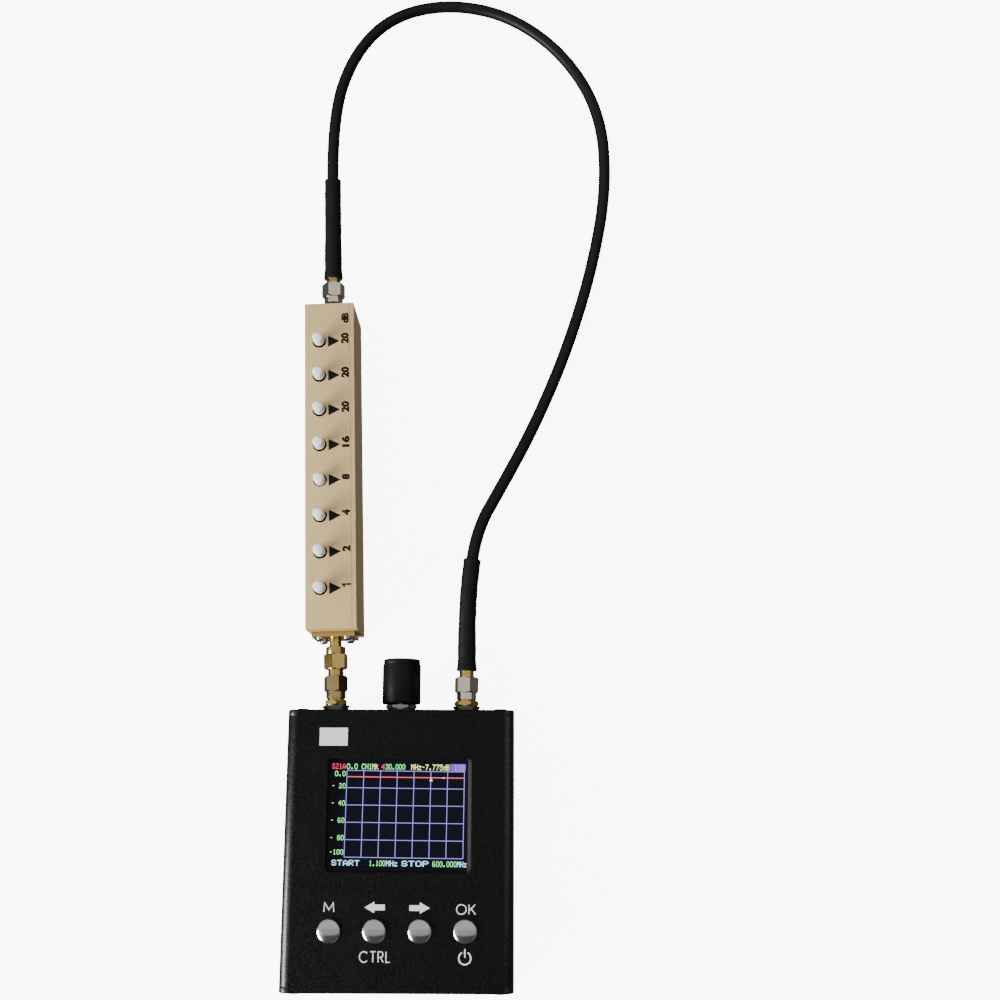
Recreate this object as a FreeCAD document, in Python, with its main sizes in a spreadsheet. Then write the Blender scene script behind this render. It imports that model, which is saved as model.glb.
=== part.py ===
import FreeCAD, Part
import math
import os
import re

import Sketcher
from FreeCAD import Placement, Rotation, Vector

# Handheld radio analyzer lying on its back, with an adapter, a step attenuator with eight push
# buttons and a coax jumper screwed to its two ports. Millimetres. The origin is the centre of the
# back face, +Z looks out of the screen and +Y points the way the ports point.

sizes = {
    # case
    "case_width": 82.8,
    "case_length": 98.7,
    "case_depth": 28.0,
    "case_wall": 1.8,
    "case_edge_radius": 3.5,
    "end_plate_thickness": 2.2,
    "plate_edge_chamfer": 0.4,
    "split_height": 14.0,
    "lip_height": 1.2,
    "lip_thickness": 0.8,
    "seam_gap": 0.05,
    "boss_side": 6.6,
    # end plate screws
    "end_screw_radius": 1.45,
    "end_screw_length": 9.0,
    "end_screw_head_radius": 2.75,
    "end_screw_head_height": 0.5,
    "end_screw_socket_flats": 2.0,
    "screw_gap": 0.05,
    # window and display
    "window_x": 0.03,
    "window_drop": 0.5,
    "window_width": 51.86,
    "window_height": 39.9,
    "window_corner": 1.2,
    "active_x": -0.45,
    "active_width": 48.96,
    "active_height": 36.72,
    "bezel_reveal": 0.67,
    "display_x": 0.6,
    "display_side_gap": 2.25,
    "display_height": 42.8,
    "display_thickness": 3.3,
    "display_skin": 0.3,
    "display_clearance": 0.3,
    "carrier_border": 3.0,
    # keys
    "key_row_margin": 18.8,
    "key_pitch": 16.05,
    "key_radius": 4.0,
    "key_hole_gap": 0.2,
    "key_rise": 1.8,
    "key_dome_height": 1.3,
    "key_flange_radius": 4.7,
    "key_flange_thickness": 0.8,
    "key_flange_clearance": 0.25,
    "key_stem_radius": 1.7,
    "key_stem_gap": 0.05,
    "key_travel": 0.4,
    "switch_side": 6.0,
    "switch_height": 3.4,
    "switch_floor": 0.8,
    # main board and what it carries
    "board_top_height": 19.0,
    "board_thickness": 1.6,
    "board_side_gap": 1.6,
    "board_encoder_gap": 2.3,
    "board_lower_gap": 1.55,
    "standoff_radius": 2.2,
    "standoff_side_gap": 0.6,
    "standoff_upper_margin": 2.4,
    "standoff_lower_margin": 7.6,
    "board_screw_radius": 1.2,
    "board_screw_length": 7.6,
    "board_screw_head_radius": 1.9,
    "board_screw_head_height": 1.4,
    "board_screw_clearance": 0.55,
    "shield_width": 32.0,
    "shield_length": 24.0,
    "shield_height": 3.4,
    "shield_wall": 0.4,
    "shield_y": 8.0,
    "chip_side": 14.0,
    "chip_height": 1.2,
    "chip_spacing": 18.0,
    "battery_side_gap": 3.0,
    "battery_length": 62.0,
    "battery_thickness": 8.6,
    "battery_lower_gap": 6.15,
    "usb_width": 9.0,
    "usb_depth": 7.3,
    "usb_height": 3.2,
    "usb_shell": 0.3,
    "usb_overhang": 1.0,
    "usb_slot_gap": 0.3,
    # ports and threads
    "port_height": 14.5,
    "ports_centre": -0.9,
    "port_side_gap": 0.9,
    "port_reach": 10.0,
    "thread_radius": 3.15,
    "thread_gap": 0.06,
    "panel_hole_gap": 0.4,
    "port_block_width": 5.4,
    "port_block_length": 10.5,
    "flat_washer_radius": 5.05,
    "flat_washer_thickness": 0.8,
    "lock_washer_radius": 4.6,
    "lock_washer_thickness": 1.2,
    "port_nut_flats": 8.0,
    "port_nut_thickness": 2.1,
    "socket_bore_radius": 2.35,
    "socket_bore_depth": 2.8,
    "insulator_radius": 2.0,
    "insulator_length": 5.0,
    "contact_radius": 0.64,
    "contact_bore": 0.5,
    "pin_radius": 0.46,
    "pin_reach": 1.6,
    "pin_tip_radius": 0.2,
    "pin_tip_length": 0.3,
    "plug_sleeve_radius": 2.3,
    "plug_sleeve_length": 2.6,
    "plug_flange_radius": 3.1,
    "plug_flange_thickness": 0.8,
    "seat_gap": 0.05,
    "coupling_flats": 8.0,
    "coupling_length": 8.4,
    "coupling_round_radius": 3.7,
    "coupling_round_length": 2.6,
    "nut_chamfer": 0.35,
    "adapter_nut_depth": 5.1,
    "jumper_nut_depth": 5.5,
    "adapter_neck_radius": 2.95,
    "adapter_neck_length": 2.6,
    "chain_lean": 2.0,
    # encoder
    "shaft_radius": 3.0,
    "shaft_gap": 0.05,
    "bushing_radius": 3.4,
    "bushing_reach": 5.0,
    "encoder_width": 13.2,
    "encoder_height": 12.6,
    "encoder_length": 6.4,
    "detent_radius": 5.1,
    "detent_length": 3.6,
    "detent_gap": 0.1,
    "encoder_nut_flats": 10.0,
    "encoder_nut_thickness": 2.05,
    "encoder_washer_radius": 5.6,
    "encoder_washer_thickness": 0.8,
    "knob_radius": 7.15,
    "knob_length": 16.6,
    "knob_cap_radius": 6.85,
    "knob_cap_length": 1.9,
    "knob_edge": 0.35,
    "knob_roof": 2.6,
    "knob_recess_depth": 1.0,
    "knob_nut_gap": 0.05,
    "press_travel": 0.5,
    # step attenuator
    "attenuator_width": 19.0,
    "attenuator_depth": 29.0,
    "attenuator_length": 127.2,
    "attenuator_wall": 1.5,
    "attenuator_end_wall": 5.0,
    "cover_thickness": 1.6,
    "cover_gap": 0.05,
    "cover_screw_radius": 1.0,
    "cover_screw_length": 6.0,
    "cover_screw_head_radius": 1.9,
    "cover_screw_head_depth": 0.9,
    "neck_radius": 2.3,
    "neck_length": 3.15,
    "attenuator_port_reach": 8.25,
    "flange_side": 16.0,
    "flange_thickness": 2.0,
    "flange_screw_spacing": 10.2,
    "flange_screw_radius": 1.0,
    "flange_screw_length": 5.0,
    "flange_screw_head_radius": 1.6,
    "flange_screw_head_height": 1.3,
    "button_count": 8,
    "button_first": 15.2,
    "button_upper_margin": 15.47,
    "button_offset": 3.8,
    "button_hole_radius": 2.6,
    "button_radius": 2.1,
    "button_rise": 6.0,
    "button_dome": 0.9,
    "button_skirt": 1.2,
    "button_stem_radius": 1.5,
    "button_stem_length": 5.0,
    "button_stem_gap": 0.06,
    "button_travel": 2.2,
    "button_latched": 1.5,
    "module_width": 13.0,
    "module_length": 10.0,
    "module_height": 13.0,
    "module_offset": 1.4,
    "resistor_board_side_gap": 0.3,
    "resistor_board_end_gap": 0.6,
    "resistor_board_thickness": 1.2,
    "resistor_width": 6.4,
    "resistor_length": 3.2,
    "resistor_height": 0.6,
    # coax jumper
    "plug_neck_radius": 2.75,
    "plug_neck_end": 5.4,
    "ferrule_radius": 3.0,
    "ferrule_length": 9.0,
    "cable_radius": 2.4,
    "sleeve_gap": 0.05,
    "boot_length": 42.7,
    "boot_flare_radius": 3.75,
    "boot_flare_length": 2.5,
    "boot_shoulder_radius": 3.5,
    "boot_shoulder_length": 14.0,
    "boot_radius": 3.35,
    "boot_bend_radius": 229.0,
}

# Places worked out from the sizes, in the same words that the formulas use
places = {
    "panel": "case_length / 2",
    "shell_length": "case_length - 2 * end_plate_thickness",
    "plate_inside": "panel - end_plate_thickness",
    "inner_width": "case_width - 2 * case_wall",
    "roof": "case_depth - case_wall",
    "boss_x": "inner_width / 2 - boss_side / 2",
    "front_boss_z": "roof - boss_side / 2",
    "back_boss_z": "case_wall + boss_side / 2",
    "display_top": "roof - display_clearance",
    "display_bottom": "display_top - display_thickness",
    "standoff_x": "boss_x - boss_side / 2 - standoff_side_gap - standoff_radius",
    "port_spacing": "2 * (standoff_x - standoff_radius - port_block_width / 2 - port_side_gap)",
    "left_port_x": "ports_centre - port_spacing / 2",
    "right_port_x": "ports_centre + port_spacing / 2",
    "encoder_back": "plate_inside - seam_gap - encoder_length",
    "board_bottom": "board_top_height - board_thickness",
    "board_width": "inner_width - 2 * board_side_gap",
    "board_upper_y": "encoder_back - board_encoder_gap",
    "board_lower_y": "board_lower_gap - plate_inside",
    "standoff_upper_y": "board_upper_y - standoff_upper_margin",
    "standoff_lower_y": "board_lower_y + standoff_lower_margin",
    "display_upper_y": "standoff_upper_y - board_screw_head_radius - board_screw_clearance",
    "display_y": "display_upper_y - display_height / 2",
    "display_width": "2 * (boss_x - boss_side / 2 - display_side_gap - display_x)",
    "window_y": "display_y - window_drop",
    "key_row_y": "key_row_margin - plate_inside",
    "battery_width": "2 * (standoff_x - standoff_radius - battery_side_gap)",
    "battery_y": "battery_lower_gap - plate_inside + battery_length / 2",
    "key_flange_z": "roof - key_flange_clearance - key_flange_thickness",
    "key_stem_z": "board_top_height + switch_floor + key_travel + key_stem_gap * 4",
    "chain_right": "port_reach + adapter_nut_depth",
    "adapter_lower_nut": "port_reach - adapter_nut_depth",
    "adapter_upper_nut": "adapter_lower_nut + coupling_length + adapter_neck_length",
    "adapter_upper_tip": "adapter_upper_nut + coupling_length - adapter_nut_depth",
    "attenuator_lower_flange": "adapter_upper_tip + attenuator_port_reach",
    "attenuator_start": "attenuator_lower_flange + flange_thickness",
    "attenuator_end": "attenuator_start + attenuator_length",
    "attenuator_upper_tip": "attenuator_end + flange_thickness + attenuator_port_reach",
    "front_face": "attenuator_depth / 2",
    "cavity_width": "attenuator_width - 2 * attenuator_wall",
    "cavity_length": "attenuator_length - 2 * attenuator_end_wall",
    "resistor_board_width": "cavity_width - 2 * resistor_board_side_gap",
    "resistor_board_length": "cavity_length - 2 * resistor_board_end_gap",
    "button_span": "attenuator_length - button_first - button_upper_margin",
    "button_pitch": "button_span / (button_count - 1)",
    "encoder_washer_y": "panel + knob_nut_gap",
    "encoder_nut_y": "encoder_washer_y + encoder_washer_thickness",
    "knob_y": "encoder_nut_y + encoder_nut_thickness + knob_nut_gap",
    "knob_cavity": "bushing_reach + panel + press_travel + 2 * knob_nut_gap - knob_y",
    "boot_bend_length": "boot_length - boot_shoulder_length",
    "boot_bend_angle": "boot_bend_length / boot_bend_radius * 180 / pi",
}

doc = FreeCAD.newDocument("radio_analyzer")
sheet = doc.addObject("Spreadsheet::Sheet", "sizes")
for row, (name, value) in enumerate(sizes.items(), 1):
    sheet.set(f"A{row}", name)
    sheet.set(f"B{row}", str(value))
    sheet.setAlias(f"B{row}", name)
doc.recompute()

nodes = []


def in_cells(formula):
    """A formula in plain words, with each word replaced by its cell or by its own formula."""

    def cell(found):
        word = found.group(0)
        if word in places:
            return "(" + in_cells(places[word]) + ")"
        return "sizes." + word if word in sizes else word

    return re.sub(r"[a-z_]+", cell, str(formula))


def value_of(formula):
    """The number that a formula has now, for the few shapes that are made from points."""

    def number(found):
        word = found.group(0)
        if word in places:
            return "(" + str(value_of(places[word])) + ")"
        return str(float(sheet.get(word))) if word in sizes else str(math.pi)

    return FreeCAD.Units.parseQuantity(re.sub(r"[a-z_]+", number, str(formula))).Value


def bind(thing, path, formula):
    thing.setExpression(path, in_cells(formula))


def place(thing, x, y, z):
    for letter, formula in zip("xyz", (x, y, z)):
        bind(thing, "Placement.Base." + letter, formula)
    return thing


def block(name, width, length, height, x=0, y=0, z=0):
    """A box centred on x and y, standing on z."""
    box = doc.addObject("Part::Box", name)
    for prop, formula in (("Length", width), ("Width", length), ("Height", height)):
        bind(box, prop, formula)
    return place(box, f"{x} - ({width}) / 2", f"{y} - ({length}) / 2", z)


def lay_along_y(thing):
    thing.Placement = Placement(Vector(), Rotation(Vector(1, 0, 0), -90))


def rod(name, radius, length, x=0, y=0, z=0, upright=False):
    """A cylinder that starts at its place and runs along +Y, or +Z when upright."""
    cylinder = doc.addObject("Part::Cylinder", name)
    if not upright:
        lay_along_y(cylinder)
    bind(cylinder, "Radius", radius)
    bind(cylinder, "Height", length)
    return place(cylinder, x, y, z)


def taper(name, start_radius, end_radius, length, x=0, y=0, z=0, upright=False):
    cone = doc.addObject("Part::Cone", name)
    if not upright:
        lay_along_y(cone)
    bind(cone, "Radius1", start_radius)
    bind(cone, "Radius2", end_radius)
    bind(cone, "Height", length)
    return place(cone, x, y, z)


def hexagon(name, flats, length, x=0, y=0, z=0):
    prism = doc.addObject("Part::Prism", name)
    prism.Polygon = 6
    lay_along_y(prism)
    bind(prism, "Circumradius", f"{flats} / sqrt(3)")
    bind(prism, "Height", length)
    return place(prism, x, y, z)


def chamfered_hexagon(name, flats, length, y=0):
    """A hexagon along +Y whose corners are turned down at both ends."""
    corner = f"{flats} / sqrt(3)"
    turned = fuse(
        name + "_turned",
        taper(name + "_lead", f"{flats} / 2", corner, "nut_chamfer", y=y),
        rod(name + "_middle", corner, f"{length} - 2 * nut_chamfer", y=f"{y} + nut_chamfer"),
        taper(name + "_tail", corner, f"{flats} / 2", "nut_chamfer", y=f"{y} + {length} - nut_chamfer"),
    )
    common = doc.addObject("Part::Common", name)
    common.Base = hexagon(name + "_hexagon", flats, length, y=y)
    common.Tool = turned
    return common


def fuse(name, *things):
    together = doc.addObject("Part::MultiFuse", name)
    together.Shapes = list(things)
    return together


def cut(name, base, *tools):
    result = doc.addObject("Part::Cut", name)
    result.Base = base
    result.Tool = tools[0] if len(tools) == 1 else fuse(name + "_tools", *tools)
    return result


def overlap(name, one, other):
    common = doc.addObject("Part::Common", name)
    common.Base = one
    common.Tool = other
    return common


def node(label, *things):
    """The finished sub-part. Several pieces under one label stay separate solids."""
    if len(things) == 1:
        whole = things[0]
    else:
        whole = doc.addObject("Part::Compound", label + "_group")
        whole.Links = list(things)
    whole.Label = label
    nodes.append(whole)
    return whole


def on_left_chain(thing, distance, facing_back=False):
    """Puts a piece on the axis of the leaning chain, a distance from the panel."""
    turn = 180 if facing_back else 0
    thing.Placement = Placement(Vector(), Rotation(Vector(0, 0, 1), turn + 1))
    bind(thing, "Placement.Rotation.Angle", f"chain_lean + {turn}")
    lean = "(chain_lean * 1deg)"
    place(
        thing,
        f"left_port_x - ({distance}) * sin{lean}",
        f"panel + ({distance}) * cos{lean}",
        "port_height",
    )
    return thing


def on_right_port(thing, distance):
    return place(thing, "right_port_x", f"panel + {distance}", "port_height")


# Bodies made from sketches


def new_body(name):
    return doc.addObject("PartDesign::Body", name)


def origin_part(body, role):
    return next(part for part in body.Origin.OriginFeatures if part.Role == role)


def sketch_on(body, name, plane, u=0, v=0, w=0):
    sketch = body.newObject("Sketcher::SketchObject", name)
    sketch.AttachmentSupport = [(origin_part(body, plane), "")]
    sketch.MapMode = "FlatFace"
    for letter, formula in zip("xyz", (u, v, w)):
        bind(sketch, "AttachmentOffset.Base." + letter, formula)
    return sketch


def named_size(sketch, index, name, formula):
    sketch.renameConstraint(index, name)
    bind(sketch, "Constraints." + name, formula)


def rectangle(body, name, plane, width, height, u=0, v=0, w=0):
    sketch = sketch_on(body, name, plane, u, v, w)
    corners = [Vector(-2, -1, 0), Vector(2, -1, 0), Vector(2, 1, 0), Vector(-2, 1, 0)]
    for side in range(4):
        sketch.addGeometry(Part.LineSegment(corners[side], corners[(side + 1) % 4]), False)
    for side in range(4):
        sketch.addConstraint(Sketcher.Constraint("Coincident", side, 2, (side + 1) % 4, 1))
        level = "Horizontal" if side % 2 == 0 else "Vertical"
        sketch.addConstraint(Sketcher.Constraint(level, side))
    sketch.addConstraint(Sketcher.Constraint("Symmetric", 0, 1, 1, 2, -1, 1))
    named_size(
        sketch,
        sketch.addConstraint(Sketcher.Constraint("DistanceX", 0, 1, 0, 2, 4.0)),
        "width",
        width,
    )
    named_size(
        sketch,
        sketch.addConstraint(Sketcher.Constraint("DistanceY", 1, 1, 1, 2, 2.0)),
        "height",
        height,
    )
    return sketch


def circle(body, name, plane, radius, u=0, v=0, w=0):
    sketch = sketch_on(body, name, plane, u, v, w)
    sketch.addGeometry(Part.Circle(Vector(), Vector(0, 0, 1), 1.0), False)
    sketch.addConstraint(Sketcher.Constraint("Coincident", 0, 3, -1, 1))
    named_size(sketch, sketch.addConstraint(Sketcher.Constraint("Radius", 0, 1.0)), "radius", radius)
    return sketch


def pad(body, name, sketch, length, both_ways=False):
    feature = body.newObject("PartDesign::Pad", name)
    feature.Profile = sketch
    bind(feature, "Length", length)
    if both_ways:
        feature.SideType = "Symmetric"
    body.Tip = feature
    return feature


def pocket(body, name, sketch, depth, both_ways=False):
    """Cuts against the sketch's normal, or both ways, and checks that it has cut something."""
    doc.recompute()
    before = body.Shape.Volume
    feature = body.newObject("PartDesign::Pocket", name)
    feature.Profile = sketch
    bind(feature, "Length", depth)
    if both_ways:
        feature.SideType = "Symmetric"
    body.Tip = feature
    doc.recompute()
    assert body.Shape.Volume < before - 1e-6, f"{name} cuts nothing"
    return feature


def row_of(body, name, feature, axis, length, count):
    pattern = body.newObject("PartDesign::LinearPattern", name)
    pattern.Originals = [feature]
    pattern.Direction = (origin_part(body, axis), [""])
    bind(pattern, "Length", length)
    bind(pattern, "Occurrences", count)
    body.Tip = pattern
    return pattern


def mirror(body, name, features, plane):
    mirrored = body.newObject("PartDesign::Mirrored", name)
    mirrored.Originals = list(features)
    mirrored.MirrorPlane = (origin_part(body, plane), [""])
    body.Tip = mirrored
    return mirrored


def fillet(body, name, radius, wanted, kind="PartDesign::Fillet", prop="Radius"):
    """Rounds, or chamfers, the edges of the body's last feature for which wanted says yes."""
    doc.recompute()
    base = body.Tip
    found = [f"Edge{i}" for i, edge in enumerate(base.Shape.Edges, 1) if wanted(edge)]
    feature = body.newObject(kind, name)
    feature.Base = (base, found)
    bind(feature, prop, radius)
    body.Tip = feature
    return feature


def runs_along(edge, axis):
    """Whether a straight edge is parallel to that axis."""
    if not isinstance(edge.Curve, (Part.Line, Part.LineSegment)):
        return False
    ends = [vertex.Point for vertex in edge.Vertexes]
    return abs(abs((ends[1] - ends[0]).normalize().dot(axis)) - 1) < 1e-6


x_axis, y_axis, z_axis = Vector(1, 0, 0), Vector(0, 1, 0), Vector(0, 0, 1)


# The case: two channels that meet on a lip, closed by two end plates


def shell(name, height, middle, cavity_middle, outer_z, boss_z, lip):
    body = new_body(name)
    outer = rectangle(body, name + "_outline", "XZ_Plane", "case_width", height, 0, middle)
    pad(body, name + "_blank", outer, "shell_length", both_ways=True)
    far = value_of(outer_z)
    fillet(
        body,
        name + "_long_edges",
        "case_edge_radius",
        lambda edge: runs_along(edge, y_axis) and abs(edge.CenterOfMass.z - far) < 0.01,
    )
    inside = rectangle(
        body, name + "_inside", "XZ_Plane", "inner_width", f"{height} - case_wall", 0, cavity_middle
    )
    pocket(body, name + "_cavity", inside, "shell_length + 2", both_ways=True)
    boss = pad(
        body,
        name + "_boss",
        rectangle(body, name + "_boss_outline", "XZ_Plane", "boss_side", "boss_side", "boss_x", boss_z),
        "shell_length",
        both_ways=True,
    )
    bore = pocket(
        body,
        name + "_boss_bore",
        circle(
            body,
            name + "_bore_outline",
            "XZ_Plane",
            "end_screw_radius + screw_gap",
            "boss_x",
            boss_z,
        ),
        "shell_length + 2",
        both_ways=True,
    )
    mirror(body, name + "_other_boss", [boss, bore], "YZ_Plane")
    lip(body)
    return body


def front_lip(body):
    """The rebate that the back shell's lip stands in."""
    rebate_width = "lip_thickness + seam_gap"
    rebate = pocket(
        body,
        "front_rebate",
        rectangle(
            body,
            "front_rebate_outline",
            "XZ_Plane",
            rebate_width,
            "lip_height + seam_gap",
            f"inner_width / 2 + ({rebate_width}) / 2",
            "split_height + (lip_height + seam_gap) / 2",
        ),
        "shell_length + 2",
        both_ways=True,
    )
    mirror(body, "front_other_rebate", [rebate], "YZ_Plane")


def back_lip(body):
    lip = pad(
        body,
        "back_lip",
        rectangle(
            body,
            "back_lip_outline",
            "XZ_Plane",
            "lip_thickness",
            "2 * lip_height",
            "inner_width / 2 + lip_thickness / 2",
            "split_height",
        ),
        "shell_length",
        both_ways=True,
    )
    mirror(body, "back_other_lip", [lip], "YZ_Plane")


front_shell = shell(
    "front_shell",
    "(case_depth - split_height - seam_gap)",
    "(case_depth + split_height + seam_gap) / 2",
    "(case_depth - case_wall + split_height + seam_gap) / 2",
    "case_depth",
    "front_boss_z",
    front_lip,
)
pocket(
    front_shell,
    "display_window",
    rectangle(
        front_shell,
        "window_outline",
        "XY_Plane",
        "window_width",
        "window_height",
        "window_x",
        "window_y",
        "case_depth",
    ),
    "case_wall + 0.5",
)
fillet(
    front_shell,
    "window_corners",
    "window_corner",
    lambda edge: runs_along(edge, z_axis)
    and abs(edge.CenterOfMass.x - value_of("window_x")) < value_of("window_width") / 2 + 0.1
    and abs(edge.CenterOfMass.y - value_of("window_y")) < value_of("window_height") / 2 + 0.1,
)
first_key_hole = pocket(
    front_shell,
    "key_hole",
    circle(
        front_shell,
        "key_hole_outline",
        "XY_Plane",
        "key_radius + key_hole_gap",
        "-1.5 * key_pitch",
        "key_row_y",
        "case_depth",
    ),
    "case_wall + 0.5",
)
row_of(front_shell, "key_holes", first_key_hole, "X_Axis", "3 * key_pitch", 4)
node("front_shell", front_shell)

back_shell = shell(
    "back_shell",
    "split_height",
    "split_height / 2",
    "(split_height + case_wall) / 2",
    "0",
    "back_boss_z",
    back_lip,
)
node("back_shell", back_shell)


def end_plate(name, outer_y):
    """A plate with the case's outline and four screw holes. outer_y is its lower y face."""
    body = new_body(name)
    outline = rectangle(
        body,
        name + "_outline",
        "XZ_Plane",
        "case_width",
        "case_depth",
        0,
        "case_depth / 2",
        f"-({outer_y})",
    )
    plate = pad(body, name + "_blank", outline, "end_plate_thickness")
    plate.Reversed = True
    fillet(body, name + "_corners", "case_edge_radius", lambda edge: runs_along(edge, y_axis))
    for side, x in (("left", "-(boss_x)"), ("right", "boss_x")):
        for level, z in (("front", "front_boss_z"), ("back", "back_boss_z")):
            hole = f"{name}_{side}_{level}"
            outline = circle(body, hole + "_outline", "XZ_Plane", "end_screw_radius + screw_gap", x, z)
            pocket(body, hole, outline, "case_length + 2", both_ways=True)
    return body


def on_outer_rim(edge, level):
    """Whether an edge lies on a plate's outside face, which is at that y, and on its outline."""
    box = edge.BoundBox
    reach = value_of("case_width") / 2 - value_of("case_edge_radius") - 0.1
    flat = box.YLength < 0.01 and abs(box.YMin - level) < 0.01
    return flat and max(abs(box.XMin), abs(box.XMax)) > reach


top_end_plate = end_plate("top_end_plate", "plate_inside")
for side, x in (("left", "left_port_x"), ("right", "right_port_x")):
    outline = circle(
        top_end_plate,
        side + "_port_outline",
        "XZ_Plane",
        "thread_radius + panel_hole_gap",
        x,
        "port_height",
    )
    pocket(top_end_plate, side + "_port_hole", outline, "case_length + 2", both_ways=True)
pocket(
    top_end_plate,
    "encoder_hole",
    circle(
        top_end_plate,
        "encoder_hole_outline",
        "XZ_Plane",
        "bushing_radius + shaft_gap",
        "ports_centre",
        "port_height",
    ),
    "case_length + 2",
    both_ways=True,
)
fillet(
    top_end_plate,
    "top_plate_edge",
    "plate_edge_chamfer",
    lambda edge: on_outer_rim(edge, value_of("panel")),
    "PartDesign::Chamfer",
    "Size",
)
node("top_end_plate", top_end_plate)

bottom_end_plate = end_plate("bottom_end_plate", "-(panel)")
pocket(
    bottom_end_plate,
    "usb_slot",
    rectangle(
        bottom_end_plate,
        "usb_slot_outline",
        "XZ_Plane",
        "usb_width + 2 * usb_slot_gap",
        "usb_height + 2 * usb_slot_gap",
        0,
        "board_bottom - usb_height / 2",
    ),
    "case_length + 2",
    both_ways=True,
)
fillet(
    bottom_end_plate,
    "bottom_plate_edge",
    "plate_edge_chamfer",
    lambda edge: on_outer_rim(edge, -value_of("panel")),
    "PartDesign::Chamfer",
    "Size",
)
node("bottom_end_plate", bottom_end_plate)


def end_screw(name, x, z, top):
    """A button head screw with a hexagon socket, its head outside the plate."""
    head = taper(
        name + "_head", "end_screw_head_radius", "end_screw_head_radius * 0.7", "end_screw_head_height"
    )
    socket = hexagon(
        name + "_socket",
        "end_screw_socket_flats",
        "end_screw_head_height",
        y="end_screw_head_height * 0.3",
    )
    shank = rod(name + "_shank", "end_screw_radius", "end_screw_length", y="-end_screw_length")
    screw = fuse(name, cut(name + "_recessed", head, socket), shank)
    screw.Placement = Placement(Vector(), Rotation(Vector(0, 0, 1), 0 if top else 180))
    return place(screw, x, "panel" if top else "-(panel)", z)


node(
    "end_plate_screws",
    *(
        end_screw(f"screw_{side}_{level}_{'top' if top else 'bottom'}", x, z, top)
        for top in (True, False)
        for side, x in (("left", "-(boss_x)"), ("right", "boss_x"))
        for level, z in (("front", "front_boss_z"), ("back", "back_boss_z"))
    ),
)


# Display: glass panel in a metal frame, carried by a plastic tray on the board

frame_blank = block(
    "frame_blank",
    "display_width",
    "display_height",
    "display_thickness",
    "display_x",
    "display_y",
    "display_bottom",
)
frame_room = block(
    "frame_room",
    "(display_width - 2 * display_skin)",
    "(display_height - 2 * display_skin)",
    "display_thickness - display_skin",
    "display_x",
    "display_y",
    "display_bottom",
)
frame_opening = block(
    "frame_opening",
    "(active_width + 2 * bezel_reveal)",
    "(active_height + 2 * bezel_reveal)",
    "display_thickness + 1",
    "active_x",
    "display_y",
    "display_bottom",
)
node("display_frame", cut("display_frame", frame_blank, frame_room, frame_opening))
node(
    "display_panel",
    block(
        "display_panel",
        "(display_width - 2 * display_skin - 2 * seam_gap)",
        "(display_height - 2 * display_skin - 2 * seam_gap)",
        "display_thickness - display_skin - seam_gap",
        "display_x",
        "display_y",
        "display_bottom",
    ),
)
carrier_outside = block(
    "carrier_outside",
    "display_width",
    "display_height",
    "display_bottom - board_top_height",
    "display_x",
    "display_y",
    "board_top_height",
)
carrier_inside = block(
    "carrier_inside",
    "(display_width - 2 * carrier_border)",
    "(display_height - 2 * carrier_border)",
    "display_bottom - board_top_height",
    "display_x",
    "display_y",
    "board_top_height",
)
node("display_carrier", cut("display_carrier", carrier_outside, carrier_inside))


# Main board and what stands on it

board = new_body("main_board")
pad(
    board,
    "board_blank",
    rectangle(
        board,
        "board_outline",
        "XY_Plane",
        "board_width",
        "board_upper_y - board_lower_y",
        0,
        "(board_upper_y + board_lower_y) / 2",
        "board_bottom",
    ),
    "board_thickness",
)
standoff_places = [
    (f"{side}_{level}", x, y)
    for side, x in (("left", "-(standoff_x)"), ("right", "standoff_x"))
    for level, y in (("upper", "standoff_upper_y"), ("lower", "standoff_lower_y"))
]
for name, x, y in standoff_places:
    outline = circle(
        board,
        f"board_{name}_outline",
        "XY_Plane",
        "board_screw_radius + 3 * screw_gap",
        x,
        y,
        "board_top_height",
    )
    pocket(board, f"board_{name}_hole", outline, "board_thickness + 1")
node("main_board", board)

node(
    "board_standoffs",
    *(
        cut(
            f"standoff_{name}",
            rod(
                f"standoff_{name}_outside",
                "standoff_radius",
                "board_bottom - case_wall",
                x,
                y,
                "case_wall",
                True,
            ),
            rod(
                f"standoff_{name}_bore",
                "board_screw_radius + screw_gap",
                "board_screw_length",
                x,
                y,
                "board_bottom - board_screw_length",
                True,
            ),
        )
        for name, x, y in standoff_places
    ),
)
node(
    "board_screws",
    *(
        fuse(
            f"board_screw_{name}",
            rod(
                f"board_screw_{name}_head",
                "board_screw_head_radius",
                "board_screw_head_height",
                x,
                y,
                "board_top_height",
                True,
            ),
            rod(
                f"board_screw_{name}_shank",
                "board_screw_radius",
                "board_screw_length",
                x,
                y,
                "board_top_height - board_screw_length",
                True,
            ),
        )
        for name, x, y in standoff_places
    ),
)

shield_box = block(
    "shield_box",
    "shield_width",
    "shield_length",
    "shield_height",
    0,
    "shield_y",
    "board_bottom - shield_height",
)
shield_room = block(
    "shield_room",
    "(shield_width - 2 * shield_wall)",
    "(shield_length - 2 * shield_wall)",
    "shield_height",
    0,
    "shield_y",
    "board_bottom - shield_height + shield_wall",
)
node("rf_shield_can", cut("rf_shield_can", shield_box, shield_room))
node(
    "board_chips",
    *(
        block(
            f"chip_{count}",
            f"(chip_side - {count} * 3)",
            f"(chip_side - {count} * 3)",
            "chip_height",
            f"{count - 1} * chip_spacing",
            "display_y",
            "board_top_height",
        )
        for count in range(3)
    ),
)
node(
    "battery",
    block(
        "battery",
        "battery_width",
        "battery_length",
        "battery_thickness",
        0,
        "battery_y",
        "case_wall",
    ),
)

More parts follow.
